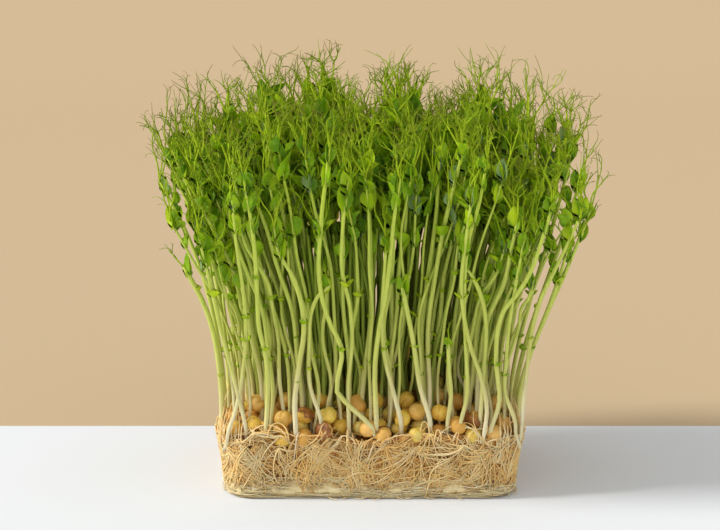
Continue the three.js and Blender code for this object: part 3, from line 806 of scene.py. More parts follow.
    def antlers(self, starts, ways, lengths, shares=(0.5, 0.8, 1.0, 1.0)):
        """Branched tendrils on stalks, one for each start. Gives the stalks back."""
        many = len(ways)
        bend = self.wild.normal(size=(many, 3)) * [0.7, 0.7, 0.2] + [0, 0, 0.9]
        stalk = arcs(starts, unit(ways), bend, self.wild.uniform(0.3, 1.1, many), lengths, 6)
        self.twigs(stalk, (0.42, 0.24), (0.1, 0.5), 4)
        self.threads(stalk, lengths * self.wild.uniform(0.5, 0.85, many), shares)
        return stalk

    def borne_tendrils(self, tendrils):
        """Tendrils where the solids have them: a stalk to the bend, and branches to the tips."""
        wild = self.wild
        for tendril in tendrils:
            start, bend, tips = (np.array(tendril[key]) for key in ("start", "bend", "tips"))
            middle = lerp(start, bend, 0.5) + wild.uniform(-0.8, 0.8, 3)
            stalk = smooth([start, middle, bend], 6)[None]
            self.twigs(stalk, (0.6, 0.36), (0, 0.4), 4)
            ways = tips - bend
            long = np.linalg.norm(ways, axis=1)
            turns = wild.uniform(0.3, 1.5, len(tips))
            first = arcs(bend[None], unit(ways), wild.normal(size=tips.shape), turns, long * 1.05, 7)
            self.twigs(first, (0.34, 0.12), (0.35, 0.95))
            second = branches(first, 0.4, long * 0.62, (0.35, 0.9), wild, 5)
            self.twigs(second, (0.24, 0.11), (0.55, 1))
            self.threads(stalk, 11.0, (0.8,), 0.3)

    def joint(self, level, z, at_end):
        """Stipules in a pair and a branched tendril, which spring from a joint of the upper half."""
        n, wild, is_seen = self.n, self.wild, self.is_seen
        middle = self.at_height(z)
        turn = face_angle(n, level % 2) + 0.7 * either(n, 160 + level)
        if is_seen and at_end:
            turn = math.pi / 2 + level * math.pi + 0.6 * either(n, 160 + level)
        elif is_seen:  # the pair stands behind the stem, as seen from outside
            turn = math.copysign(math.pi / 2, -self.line[0][1]) - 1.3 + 0.55 * either(n, 160 + level)
        sizes = SEEN_SIZES if is_seen else DEEP_SIZES
        grown = lerp(0.75, 1.2, draw(n, 170 + level)) * sizes[level]
        grown *= np.interp(z, [88, 130], [0.6, 1]) * (0.78 if self.leans else 1)
        if n >= solid_count or (level != TOP and (level != MIDDLE or n % 2)):
            grid = LEAF_GRID if is_seen or level > 3 else PLAIN_GRID
            size, rise = (grown, (1.3, 5)) if is_seen else (1.3 * grown, (0.3, 2.8))
            self.stipules(middle, turn, size, rise, grid)
        if level == TOP or (level < 3 and not is_seen) or (level == 3 and draw(n, 240) < 0.4):
            return
        rise = wild.uniform(1.4, 3) if level < 3 else wild.uniform(2.2, 5)
        side = turn + 1.4 + (1.2 * either(n, 250 + level) if is_seen and not at_end else 0)
        long = wild.uniform(13, 23) * LENGTHS[level] * np.interp(z, [88, 122], [0.5, 1])
        is_leafy = draw(n, 210 + level) < 0.75
        shares = (0.7, 1.0) if is_leafy else (0.4, 0.65, 1.0)
        stalk = self.antlers(middle[None], facing(side, rise)[None], np.full(1, long), shares)
        if is_leafy:
            self.leaflets(stalk, grown, LEAF_GRID if is_seen else PLAIN_GRID)

    def joints(self):
        n = self.n
        x, y, _ = np.abs(self.line[0])
        at_end = y / STAND[1] < x / STAND[0]
        lowest = pick(LOWEST, n, 200) - LOWER * (x > AT_SIDE)
        bare = 0.8 if self.in_front else 0.65 * self.is_seen
        for level, drop in enumerate(DROPS):
            z = self.tip - drop + 3 * either(n, 190 + level)
            if z < lowest or (level == 0 and not self.is_seen):
                continue
            if level < 4 and ((self.is_between and n % 2) or draw(n, 230 + level) < bare):
                continue
            self.joint(level, z, at_end)

    def top(self, tendrils):
        """Folded young blades at the tip among its tendrils. More are added where the solids have few."""
        n, wild = self.n, self.wild
        grown = (0.8 if self.is_seen else 1.15) * (1 if self.tip > 90 else 0.6)
        self.stipules(self.line[-2], face_angle(n, 0), grown, (2, 6), PLAIN_GRID)
        self.borne_tendrils(tendrils)
        if len(tendrils) == 3:
            return
        is_tall = self.tip > TALL
        wanted = 3 if is_tall else 1
        turns = 2 * math.pi * draw(n, 180) + np.array([0, 2.1, 4.2])[min(len(tendrils), wanted - 1) : wanted]
        ways = np.array([facing(turn, 5.0 if self.in_front else 2.2) for turn in turns])
        long = wild.uniform(13, 22, len(turns)) * (0.75 if self.in_front else 1) * (1 if is_tall else 0.5)
        self.antlers(self.line[-1:], ways, long)

    def grow(self, leaves=(), tendrils=()):
        self.stem()
        self.scale_leaves()
        self.borne_leaves(leaves)
        self.joints()
        self.top(tendrils)


# Shoots at the stand's border that lean far out: (foot x, foot y, tip x, tip y, tip height).
LEANING = [
    (69, -30, 97, -34, 150), (70, -37, 91, -43, 120), (68, -20, 95, -20, 163), (71, -33, 101, -44, 138),
    (66, -6, 86, -8, 174), (69, 28, 95, 34, 150), (62, 40, 80, 68, 146), (-69, -32, -97, -38, 150),
    (-70, -38, -86, -48, 112), (-68, -18, -93, -22, 163), (-66, -4, -82, -4, 171), (-69, 8, -96, 10, 146),
    (-68, 32, -93, 40, 158), (-30, 44, -38, 71, 156), (20, 44, 26, 72, 150),
]
# Stems at the front that cross each other: the foot's y, then (x, z) up the stem.
FRONT = [
    (-48, [(-58, 33), (-61.6, 51), (-65, 66), (-69, 83), (-71.6, 98), (-75, 116), (-77.6, 129)]),
    (-48.5, [(-49.3, 30), (-48.2, 42), (-47.5, 58), (-48.7, 72), (-51.3, 84), (-51.6, 94),
             (-52.5, 125), (-56, 156)]),
    (-48.5, [(-34.7, 31), (-35.1, 48), (-33.1, 65), (-30.6, 84), (-34.8, 108), (-41.8, 122), (-43.5, 133)]),
    (-47.5, [(-23, 38), (-28, 55), (-28.2, 78), (-27, 92), (-23.5, 100), (-18.5, 104.5)]),
    (-49, [(2, 33), (-9.5, 46), (-15.5, 53), (-14.5, 62), (-13.1, 72), (-19.5, 89), (-22.8, 103),
           (-22, 137), (-18, 170)]),
    (-47.5, [(-10, 40), (-10.4, 54), (-8.5, 78), (-9.4, 94), (-13, 112), (-12.4, 134), (-9.7, 156)]),
    (-48.5, [(2.9, 36), (2.2, 66), (4.4, 86), (6.6, 98), (8.8, 117), (10.4, 137), (13, 156)]),
    (-48, [(14.5, 36), (10, 55), (7.3, 66), (5.3, 83), (6, 103), (7, 126)]),
    (-48.5, [(28, 37), (23, 56), (20.6, 72), (17.7, 88), (14.4, 104)]),
    (-48, [(36, 36), (37.6, 52), (36.5, 64), (36, 76)]),
    (-48, [(41.5, 34), (45, 50), (44.2, 73), (42.8, 98), (44.2, 127), (48.6, 146), (51, 165)]),
    (-49.5, [(52.7, 29), (54.3, 45), (51.3, 60), (46.9, 73), (43.4, 87), (41.3, 103), (42.8, 128),
             (45, 150)]),
    (-48.5, [(56, 33), (60, 47), (58.2, 68), (58.7, 83), (61.2, 93), (66.4, 100), (72.3, 111),
             (77, 127), (81, 144)]),
    (-48, [(68, 36), (62.7, 53), (62.9, 68), (64.1, 88), (65.9, 103), (69, 127)]),
    (-46, [(71, 36), (73.3, 68), (74.6, 82), (78.6, 99), (83.5, 111), (90, 127), (95, 141)]),
    (-47, [(51.5, 38), (52.8, 66), (53.3, 84), (51, 98), (46.2, 109), (41, 116)]),
    (-48, [(-67, 30), (-62.7, 44), (-59.1, 63), (-57.3, 83), (-58.2, 103), (-60.3, 122), (-61.7, 146)]),
]


def leaning_line(foot_x, foot_y, tip_x, tip_y, tip):
    z = np.linspace(24, tip, STEM_POINTS)
    share = np.clip((z - 45) / (tip - 45), 0, 1) ** 1.5
    bow = np.sin(share * math.pi) * 3
    return np.stack([lerp(foot_x, tip_x, share) + bow, lerp(foot_y, tip_y, share), z], 1)


def front_line(foot_y, corners):
    """A stem that leans forward with height as the stand behind it does."""
    x, z = np.array(corners, float).T
    wider = np.clip((z - FAN["from"]) / FAN["height"], 0, None) ** FAN["curve"]
    seen = np.stack([x, foot_y * (1 + FAN["y"] * wider), z], 1)
    buried = [[x[0] + 0.5 * (x[0] - x[1]), foot_y + 5, min(z[0] - 7, 24)], [x[0], foot_y + 1.5, z[0] - 3]]
    return smooth([*buried, *seen], STEM_POINTS)


def filler_stems():
    """Plain stems deep in the stand, which stop daylight from showing through it. Their tones over 1 paint
    shade on them.
    """
    lines = []
    for n in range(FILLERS_FROM, FILLERS_FROM + FILLERS):
        base = np.array([62 * either(n, 3), 34 * either(n, 4)])
        low = heap_height(base) - BURIED
        up = bends(n, base, [62, 90, lerp(116, 142, draw(n, 30))])
        lines.append(smooth([[*base, low], [*base, low + BURIED], *up], 10))
    lines = np.array(lines)
    skin = Skin()
    # tones over 1 paint shade on these stems
    tone = [1 + draw(i, 150) for i in range(FILLERS)]
    tubes(skin, lines, np.linspace(1.15, 0.7, 10), tone, 5, ON_STEM, lines[:, :, 2] / 200)
    return skin


# ---- The root mat's core ----
CORE_COLUMNS, CORE_RINGS = 288, 18
# Rings that close over the top: how far each lies in from the rim, and how far down.
OVER_TOP = ((2.2, 0.4), (4, 2.5), (7, 4), (12, 4), (18, 3), (26, 2), (36, 1), (46, 0.5))


def mat_core():
    """The felted body of the mat. Rings of points climb its side and then close over its top."""
    share = np.arange(CORE_COLUMNS) / CORE_COLUMNS
    rim = rim_height(share)
    rings = [wall(share, 0 * share, 0 * share - 3)]
    for up in np.linspace(0, 1, CORE_RINGS):
        z = 0.7 + up * (rim - 1.2)
        stand = -0.9 + 0.75 * bundles(share, z) - 1.8 * (1 - up * 9) * (up < 0.11)
        stand += (1.5 + 0.5 * np.sin(share * 90)) * np.exp(-(((z - 3.5) / 3.2) ** 2))
        ring = wall(share, z, stand)
        rough = ripple(ring, 5, 11) * 0.5 + ripple(ring, 2.2, 12) * 0.25
        rings.append(ring + rough[:, None] * [1, 1, 0.3])
    flat, out = outline(MAT["top"], share)
    for far, drop in OVER_TOP:
        ring = np.zeros((CORE_COLUMNS, 3))
        ring[:, :2] = (flat - out * 1.2) * [1 - far / 74, 1 - far / 52]
        edge = min(1, far / 12)
        level = heap_heights(ring) - 7.5 - drop * 0.5
        ring[:, 2] = lerp(rim - drop, level, edge) + 1.2 * ripple(ring, 7, 13) * edge
        rings.append(ring)
    points = np.concatenate([*rings, [[0, 0, 0], [0, 0, heap_height([0, 0]) - 8]]])
    skin = Skin()
    skin.add(points, ball_faces(len(rings), CORE_COLUMNS), grow=points[:, 2] / 40)
    return skin


# ---- Fine roots ----
# Where roots climbed the tray's wall: (share of the way round the mat, how many).
CLIMBING = [(0.27, 26), (0.33, 14), (0.42, 14), (0.48, 16), (0.76, 16), (0.83, 14), (0.91, 14), (0.97, 26)]
DOWN = -math.pi / 2
TANGLE, LOOPS, FELT, STRAYS = 680, 26, 170, 12  # roots of each kind on a quarter of the side
BUNDLES, FANS, SEVERAL = 13, 9, 7  # groups of roots there, and how many run together in each
ROOT_POINTS = 9  # points along the line of a root on the side


def wander(share, z, heading, reach, depth, wild, count=ROOT_POINTS, steer=0.3, over=0.5):
    """Lines that creep over the mat's side from (share, z) and lie at a depth in its surface.
    They turn back at a height over the rim, and above the felt at the foot."""
    run = share * PERIMETER
    low = wild.uniform(4, 9.5, len(run)) + 1.5 * np.sin(run / 17)
    lines = []
    step = reach / (count - 1)
    for _ in range(count):
        spot = np.stack([run, z, 0 * run], -1)
        past = np.clip(z - rim_height(run / PERIMETER), 0, None)
        lines.append(wall(run / PERIMETER, z, depth + 0.5 * ripple(spot, 9, 31) - 0.6 * past))
        field = ripple(spot, 26, 32) * 0.9 + ripple(spot, 10, 33) * 0.8
        heading = heading + steer * (field + wild.normal(0, 0.3, len(run))) * step / 3
        heading = np.where(z < low, np.abs(heading) % math.pi, heading)
        run = run + step * np.cos(heading)
        z = z + step * np.sin(heading)
        top = rim_height(run / PERIMETER) + over
        heading = np.where(z > top, -np.abs(heading), heading)
        z = np.clip(z, 0.5, top)
    return np.stack(lines, axis=1)


def felt(share, z, reach, depth, sway, count):
    """Lines that run level round the mat's foot and rise and fall together."""
    run = share[:, None] * PERIMETER + np.linspace(0, 1, count) * reach[:, None]
    wave = np.sin(run / 10 + sway[:, None]) + 0.8 * np.sin(run / 4.7 + 2 * sway[:, None])
    wave += 0.4 * np.sin(run / 1.9 + 5 * sway[:, None])
    band = 0.85 + 0.3 * np.sin(run / 13) + 0.2 * np.sin(run / 31 + 1)
    high = np.clip(z[:, None] * band + wave * (z / 7)[:, None], 0.45, 11)
    return wall(run / PERIMETER, high, depth[:, None] - 0.45 * np.clip(2.6 - high, 0, 3))


def loops(share, wide, high, depth, count=ROOT_POINTS):
    """Roots that arch up over the rim, in front of the peas, and dive back into the mat."""
    angle = np.linspace(0, math.pi, count)
    run = share[:, None] * PERIMETER + wide[:, None] * np.cos(angle)
    rim = rim_height(run / PERIMETER)
    z = rim - 3 + high[:, None] * np.sin(angle) ** 0.8
    return wall(run / PERIMETER, z, depth[:, None] - 0.75 * np.clip(z - rim, 0, None))


def side_roots(quarter):
    """The tangle of straw-coloured roots on a quarter of the mat's side, and the felt at its foot."""
    wild = np.random.default_rng(SEED["side"] + quarter)
    any_of = wild.uniform
    skin = Skin()

    def shares(many=None):
        """Shares of the way round the mat that lie in this quarter."""
        return (quarter + any_of(0, 1, many)) / 4

    share, z = shares(TANGLE), any_of(9, 31, TANGLE)
    heading = DOWN + wild.normal(0, 1.0, TANGLE)
    depth = any_of(-2.0, 0.35, TANGLE)
    reach, over = any_of(12, 36, TANGLE), any_of(-9, 1, TANGLE)
    lines = wander(share, z, heading, reach, depth, wild, steer=0.45, over=over)
    # painted shade: roots that lie deeper in the mat's side get a lower tone, which is darker
    tone = np.clip(0.5 + depth * 0.2 + any_of(-0.2, 0.35, TANGLE), 0, 1)
    taper = np.interp(np.arange(ROOT_POINTS), [0, 1, 7, 8], [0.7, 1, 1, 0.4])
    tubes(skin, lines, any_of(0.22, 0.42, (TANGLE, 1)) * taper, tone)
    # Bundles of several roots that run together, from the rim down.
    for _ in range(BUNDLES):
        share = shares() + wild.normal(0, 0.003, SEVERAL)
        slant = wild.choice([-1.0, 1.0]) * any_of(0.1, 0.9) + DOWN
        heading = slant + wild.normal(0, 0.12, SEVERAL)
        z = any_of(22, 31) + wild.normal(0, 0.8, SEVERAL)
        depth, reach = any_of(-0.4, 0.4, SEVERAL), any_of(24, 40, SEVERAL)
        lines = wander(share, z, heading, reach, depth, wild, steer=0.18, over=0)
        tone = any_of(0.4, 0.9)
        tubes(skin, lines, any_of(0.22, 0.4, (SEVERAL, 1)) * taper, tone)
    # Roots fan out below the peas.
    for _ in range(FANS):
        share = np.full(SEVERAL, shares())
        heading = DOWN + np.linspace(-1.2, 1.2, SEVERAL) + wild.normal(0, 0.2, SEVERAL)
        z = rim_height(share) + any_of(-8, 3)
        depth, reach = any_of(0, 0.6, SEVERAL), any_of(14, 34, SEVERAL)
        lines = wander(share, z, heading, reach, depth, wild, steer=0.22, over=5)
        tone = any_of(0.4, 0.85)
        tubes(skin, lines, np.linspace(0.46, 0.24, ROOT_POINTS) * any_of(0.8, 1.15, (SEVERAL, 1)), tone)
    share, wide, high = shares(LOOPS), any_of(-11, 11, LOOPS), any_of(0, 9, LOOPS)
    lines = loops(share, wide, high, any_of(-0.5, 0.8, LOOPS))
    tubes(skin, lines, any_of(0.24, 0.42, (LOOPS, 1)), any_of(0.4, 1, LOOPS))
    # The felt that lay on the tray's floor.
    share, z, depth = shares(FELT), any_of(0.4, 11, FELT), any_of(-0.3, 0.7, FELT)
    lines = felt(share, z, any_of(10, 28, FELT), depth, wild.normal(0, 1.3, FELT), 12)
    taper = np.interp(np.arange(12), [0, 2, 9, 11], [0.5, 1, 1, 0.5])
    tubes(skin, lines, any_of(0.14, 0.3, (FELT, 1)) * taper, any_of(0, 1, FELT), paint=1)
    # Loose ends stray out over the floor.
    share = shares(STRAYS)
    start = wall(share, np.full(STRAYS, 1.2), np.full(STRAYS, -1.0))
    _, out = outline(MAT["bottom"], share)
    way = np.concatenate([out, np.full((STRAYS, 1), -0.12)], axis=1)
    along = np.stack([-out[:, 1], out[:, 0], 0 * share], axis=1) * wild.choice([-1, 1], (STRAYS, 1))
    heading = unit(way + along * any_of(0.3, 2, (STRAYS, 1)))
    lines = arcs(start, heading, along, any_of(0.3, 1.4, STRAYS), any_of(4, 8, STRAYS), 8)
    lines[:, :, 2] = np.clip(lines[:, :, 2], 0.4, None)
    tubes(skin, lines, np.linspace(0.3, 0.16, 8), 0.85)
    return skin


def rim_roots(many=150):
    """Pale roots that lie over the rim, and those that climbed the tray's wall among the stems."""
    wild = np.random.default_rng(SEED["rim"])
    any_of = wild.uniform
    skin = Skin()
    share = any_of(0, 1, many)
    z = rim_height(share) + any_of(-9, 0, many)
    heading = wild.choice([0.0, math.pi], many) + wild.normal(0, 1.0, many)
    depth, over = any_of(-4, 0.2, many), any_of(-5, 3, many)
    lines = wander(share, z, heading, any_of(12, 30, many), depth, wild, 11, over=over)
    tubes(skin, lines, any_of(0.22, 0.42, (many, 1)), any_of(0.3, 0.95, many))
    lines = []
    for centre, many in CLIMBING:
        for share in wild.normal(centre, 0.02, many):
            heights = np.linspace(18, rim_height(share) + any_of(3, 17), 6)
            drift = np.cumsum(wild.normal(0, 0.0018, 6))
            stand = -0.4 - 5.5 * np.clip((heights - 30) / 20, 0, 1) ** 1.5 + wild.normal(0, 0.2, 6)
            line = wall(share + drift, heights, stand)
            lines.append(smooth(line, 12))
    many = len(lines)
    thick = np.linspace(1, 0.5, 12) * any_of(0.25, 0.5, (many, 1))
    tubes(skin, np.array(lines), thick, any_of(0.6, 1, many))
    return skin


def bed_roots(many=420):
    """Roots between and over the peas."""
    wild = np.random.default_rng(SEED["bed"])
    any_of = wild.uniform
    spot = np.stack([any_of(-66, 66, many), any_of(-45, 45, many)], 1)
    spot = np.array([point for point in spot if inset(point) > 3.5])
    many = len(spot)
    low = heap_heights(spot) - any_of(3.4, 7.5, many)
    turn = any_of(0, 2 * math.pi, many)
    way = np.stack([np.cos(turn), np.sin(turn), wild.normal(0, 0.12, many)], 1)
    side = wild.normal(size=way.shape) * [1, 1, 0.2]
    start = np.concatenate([spot, low[:, None]], 1)
    lines = arcs(start, unit(way), side, any_of(-1.6, 1.6, many), any_of(8, 20, many), 9)
    lines = np.array([line for line in lines if all(inset(point) > 1.5 for point in line)])
    level = np.array([heap_heights(line) for line in lines])
    lines[:, :, 2] = np.clip(lines[:, :, 2], level - 8, level - 2.2)
    skin = Skin()
    tubes(skin, lines, any_of(0.25, 0.45, (len(lines), 1)), any_of(0.2, 0.9, len(lines)))
    return skin


def thick_roots(many=40):
    """White roots, thicker than the rest, that leave the border's peas and stems and dive into the mat."""
    wild = np.random.default_rng(SEED["thick"])
    any_of = wild.uniform
    lines = []
    for share in (np.arange(many) + any_of(-0.45, 0.45, many)) / many:
        (flat,), (out,) = outline(MAT["top"], np.array([share]))
        along = np.array([-out[1], out[0]])
        base = flat - out * any_of(5, 9)
        slant = wild.normal(0, 1)
        over = rim_height(share) - any_of(0, 2.5)
        start = [*(base - along * slant * 3), heap_height(base) - any_of(3, 6)]
        bend = [*(flat - out * 0.9 + along * slant * 3), over]
        down = any_of(7, 20)
        shares = share + slant * np.array([0.014, 0.02 + 0.01 * wild.random()])
        low = wall(shares, np.array([over - down / 2, over - down]), np.array([0.1, -0.5]))
        lines.append(smooth([start, bend, *low], 12))
    skin = Skin()
    thick = any_of(0.36, 0.62, (many, 1)) * np.linspace(1.0, 0.4, 12)
    tubes(skin, np.array(lines), thick, any_of(0, 1, many), 5)
    return skin


# ---- Peas ----
FINE_BALL, PLAIN_BALL, COAT_GRID = (10, 16), (7, 11), (5, 16)


def directions(polar, columns):
    """Directions on a ball, at angles from its top and evenly round it."""
    turn = 2 * math.pi * np.arange(columns) / columns
    out = np.sin(polar)
    return np.stack([out * np.cos(turn), out * np.sin(turn), np.cos(polar) + 0 * turn], -1)


def ball(rows, columns):
    """Directions of the points of a ball of rings, from the bottom up, and of its two poles."""
    polar = math.pi * ((np.arange(rows) + 0.6) / (rows + 0.2))
    rings = directions(polar[:, None], columns) * [1, 1, -1]
    return np.concatenate([rings.reshape(-1, 3), [[0, 0, -1], [0, 0, 1]]])


def pea(skin, centre, radius, n, grid):
    """A swollen, wrinkled pea. Some have split into halves, and some keep a torn brown coat."""
    seed = SEED["pea"] + n
    wild = np.random.default_rng(seed)
    ways = ball(*grid)
    axes, _ = np.linalg.qr(wild.normal(size=(3, 3)))
    axes *= np.sign(np.linalg.det(axes))
    dents = 0.035 * ripple(ways * 4, 3.0, seed + 100) + 0.02 * ripple(ways * 4, 1.3, seed + 200)
    size = radius * (1 + dents) * (1 - 0.16 * np.exp(-np.sum((ways - [0, 0, 1]) ** 2, axis=1) / 0.09))
    if wild.random() < 0.35:
        size *= 1 - 0.17 * np.exp(-((ways[:, 0] / 0.1) ** 2)) * np.clip(ways[:, 2] + 0.7, 0, 1)
    shape = ways * size[:, None] * [1.0, wild.uniform(0.9, 1.02), wild.uniform(0.84, 0.95)]
    skin.add(centre + shape @ axes, ball_faces(*grid), tone=wild.random())
    if wild.random() < 0.14:
        coat(skin, centre, radius, axes, wild)


def coat(skin, centre, radius, axes, wild):
    """A torn seed coat: a thin shell over part of a pea, lifted at its ragged edge."""
    rows, columns = COAT_GRID
    polar = np.linspace(0.08, wild.uniform(0.9, 1.5), rows)[:, None]
    turn = 2 * math.pi * np.arange(columns) / columns
    ragged = 0.16 * np.sin(3 * turn + wild.uniform(0, 6)) + 0.12 * np.sin(7 * turn + wild.uniform(0, 6))
    out = (np.arange(rows) / (rows - 1))[:, None]
    ways = directions(polar * (1 + ragged * out), columns)
    lift = out**3 * wild.uniform(0.3, 1.4)
    shells = [ways * (radius * 1.03 + stand + lift)[..., None] for stand in (0.12, -0.06)]
    outer = np.arange(rows * columns).reshape(rows, columns)
    inner = outer + rows * columns
    first, last = (sheet_faces(np.stack([outer[j], inner[j]])) for j in (0, -1))
    faces = np.concatenate([sheet_faces(outer)[:, ::-1], sheet_faces(inner), first, last[:, ::-1]])
    skin.add(centre + np.concatenate(shells).reshape(-1, 3) @ axes, faces, 1, wild.random())


# Peas that the roots hold at the front, and those heaped on the first layer: (x, y, z, radius).
LOOSE_PEAS = [
    (-64, -42, 33, 4.1), (-66, -36, 38, 4.0), (-55, -45.8, 36.5, 4.1), (-54, -35, 43.5, 4.3),
    (-41, -47.3, 29.5, 4.5), (-31, -47.3, 30, 4.4), (-41, -42.5, 38, 4.4), (-40, -33, 44.5, 4.0),
    (-20, -44, 40, 4.4), (-21, -46.8, 33.5, 3.9), (-24, -33, 44.5, 4.2), (-6, -38, 44, 4.7),
    (-1, -46.8, 34.5, 4.3), (3, -32, 43.5, 4.1), (15, -44, 38.5, 4.2), (17, -32, 44, 4.3),
    (22, -41, 41, 4.2), (22, -47.8, 32, 4.2), (33, -41, 40.5, 4.3), (32, -27, 45, 4.2),
    (41, -46.8, 36, 4.5), (41, -32, 43.5, 4.2), (49, -43.5, 38, 4.3), (48, -47.3, 31.5, 4.2),
    (58, -46.3, 32, 4.3), (63, -40, 34.5, 4.3), (60, -32, 43, 4.2), (-31, -41, 39, 4.1),
    (6, -47.3, 31.5, 4.1), (32, -14, 47.5, 4.1), (3, -18, 46.5, 4.1), (-28, -18, 46, 4.0),
    (-52, -20, 45.5, 4.1), (54, -20, 45, 4.0), (-60, 10, 42.5, 4.1), (-40, 12, 46.8, 4.0),
    (-12, 18, 46.8, 4.1), (14, 8, 47.2, 4.0), (45, 14, 46.6, 4.2), (62, 20, 39.6, 4.0),
    (-50, 34, 41.8, 4.0), (-20, 38, 40, 4.1), (10, 37, 41, 4.2), (38, 36, 40.8, 3.9),
    (58, 38, 36.4, 4.0), (-63, 36, 36.4, 4.0), (-35, 45.5, 33.5, 4.2), (-4, 46, 33, 4.2),
    (26, 45.5, 34, 4.3), (67, -10, 35, 4.2), (67, 12, 34, 4.1), (-67.5, -14, 35, 4.2),
    (-67, 20, 34, 4.1),
]


def all_the_peas():
    skin = Skin()
    for q, r in peas:
        n = pea_number(q, r)
        centre = pea_centre(q, r)
        crown = heap_height(centre) + PEAS["swell"] * either(n, 5)
        radius = lerp(3.8, 4.5, draw(n, 9))
        grid = FINE_BALL if inset(centre) < 20 else PLAIN_BALL
        pea(skin, np.array([*centre, crown - radius]), radius, n, grid)
    for i, (x, y, z, radius) in enumerate(LOOSE_PEAS):
        pea(skin, np.array([x, y, z]), radius, LOOSE_FROM + i, FINE_BALL)
    return skin


# ---- Materials ----
def tint(code):
    """A linear colour from a hexadecimal one."""
    parts = [int(code[i : i + 2], 16) / 255 for i in (0, 2, 4)]
    return [c / 12.92 if c <= 0.04045 else ((c + 0.055) / 1.055) ** 2.4 for c in parts] + [1]


class Finish:
    """A material whose nodes are wired by short calls."""

    def __init__(self, name, roughness, **sockets):
        self.material = bpy.data.materials.new(name)
        self.material.use_nodes = True
        self.tree = self.material.node_tree
        self.shader = self.tree.nodes["Principled BSDF"]
        self.shader.inputs["Roughness"].default_value = roughness
        for key, value in sockets.items():
            self.shader.inputs[key.replace("_", " ")].default_value = value
        self.place = self.node("TexCoord").outputs["Object"]

    def node(self, kind, inputs=None, **settings):
        made = self.tree.nodes.new("ShaderNode" + kind)
        for key, value in settings.items():
            setattr(made, key, value)
        for key, value in (inputs or {}).items():
            if isinstance(value, bpy.types.NodeSocket):
                self.tree.links.new(value, made.inputs[key])
            else:
                made.inputs[key].default_value = value
        return made

    def read(self, name):
        return self.node("Attribute", attribute_name=name).outputs["Fac"]

    def noise(self, scale, detail=3.0, stretch=None, rough=0.5):
        """Noise whose scale is in bumps per metre, drawn out along an axis by stretch."""
        place = self.place
        if stretch:
            place = self.node("Mapping", {"Vector": place, "Scale": stretch}).outputs["Vector"]
        inputs = {"Vector": place, "Scale": scale, "Detail": detail, "Roughness": rough}
        return self.node("TexNoise", inputs).outputs["Fac"]

    def math(self, operation, a, b=0.0, c=0.0):
        return self.node("Math", {0: a, 1: b, 2: c}, operation=operation).outputs[0]

    def vary(self, value, field, amount):
        """A value that a field from 0 to 1 moves by up to half an amount either way."""
        return self.math("ADD", value, self.math("MULTIPLY_ADD", field, amount, -amount / 2))

    def ramp(self, value, *stops):
        made = self.node("ValToRGB", {"Fac": value})
        elements = made.color_ramp.elements
        while len(elements) < len(stops):
            elements.new(0.5)
        # All the places are set before any colour, in case the elements are sorted by place.
        for element, (position, _) in zip(elements, stops):
            element.position = position
        for element, (_, code) in zip(elements, stops):
            element.color = tint(code)
        return made.outputs["Color"]

    def mix(self, share, a, b, blend="MIX"):
        return self.node("Mix", {0: share, 6: a, 7: b}, data_type="RGBA", blend_type=blend).outputs[2]

    def shade(self, share, base, field, low, high, code):
        """A colour that is shaded by a share where a field is low, and left alone where it is high."""
        return self.mix(share, base, self.ramp(field, (low, code), (high, "ffffff")), "MULTIPLY")

    def colour(self, value):
        self.tree.links.new(value, self.shader.inputs["Base Color"])

    def bump(self, height, strength, distance):
        made = self.node("Bump", {"Height": height, "Strength": strength, "Distance": distance})
        self.tree.links.new(made.outputs["Normal"], self.shader.inputs["Normal"])

    def roughen(self, value, low, high):
        made = self.node("MapRange", {"Value": value, "To Min": low, "To Max": high})
        self.tree.links.new(made.outputs["Result"], self.shader.inputs["Roughness"])


def lit_through(weight, scale, radius):
    """The sockets of a material that light goes some way into."""
    return {"Subsurface_Weight": weight, "Subsurface_Scale": scale, "Subsurface_Radius": radius}


def stem_finish():
    finish = Finish("stem_skin", 0.5, Specular_IOR_Level=0.25, **lit_through(0.2, 0.0012, (0.9, 1.0, 0.3)))
    tone = finish.read("tone")  # over 1 on the stems deep in the stand, which get painted shade
    height = finish.math("ADD", finish.read("grow"), finish.math("MULTIPLY_ADD", tone, 0.12, -0.05))
    greens = [(0.16, "eee2be"), (0.23, "e4d8a0"), (0.3, "d6d478")]
    greens += [(0.42, "d2d96a"), (0.65, "cedc5c"), (0.9, "bacd36")]
    streaks = finish.noise(900, 4, (1, 1, 0.06))
    streaked = finish.shade(0.5, finish.ramp(height, *greens), streaks, 0.3, 0.7, "c6cc9c")
    # painted shade: stems deep in the stand are multiplied by a dull green, as if shaded by the stand around
    # them
    painted_shade_deep = finish.math("GREATER_THAN", tone, 1.0)
    finish.colour(finish.mix(finish.math("MULTIPLY", painted_shade_deep, 0.55), streaked, tint("8aa42e"), "MULTIPLY"))
    finish.bump(streaks, 0.25, 0.0002)
    finish.roughen(finish.noise(400), 0.4, 0.65)
    return finish.material


def blade_finish():
    finish = Finish("leaf_blade", 0.6, Specular_IOR_Level=0.12, **lit_through(0.3, 0.0009, (0.7, 1.0, 0.1)))
    patch = finish.noise(140, 3)
    greens = [(0.0, "cbd820"), (0.25, "b2cc12"), (0.45, "96ba0c")]
    greens += [(0.65, "76a008"), (0.86, "54800a"), (0.95, "84a062")]
    base = finish.ramp(finish.vary(finish.read("tone"), patch, 0.5), *greens)
    bloom = finish.ramp(finish.noise(700, 4), (0.52, "000000"), (0.68, "ffffff"))
    marbled = finish.mix(finish.math("MULTIPLY", bloom, 0.2), base, tint("a9bd84"))
    vein = finish.math("SINE", finish.math("MULTIPLY", finish.read("grow"), 40))
    finish.colour(finish.mix(finish.ramp(vein, (0.6, "000000"), (1.0, "505050")), marbled, tint("bccd62")))
    finish.bump(finish.math("ADD", patch, finish.math("MULTIPLY", vein, 0.3)), 0.3, 0.0003)
    finish.roughen(finish.noise(500), 0.45, 0.7)
    return finish.material


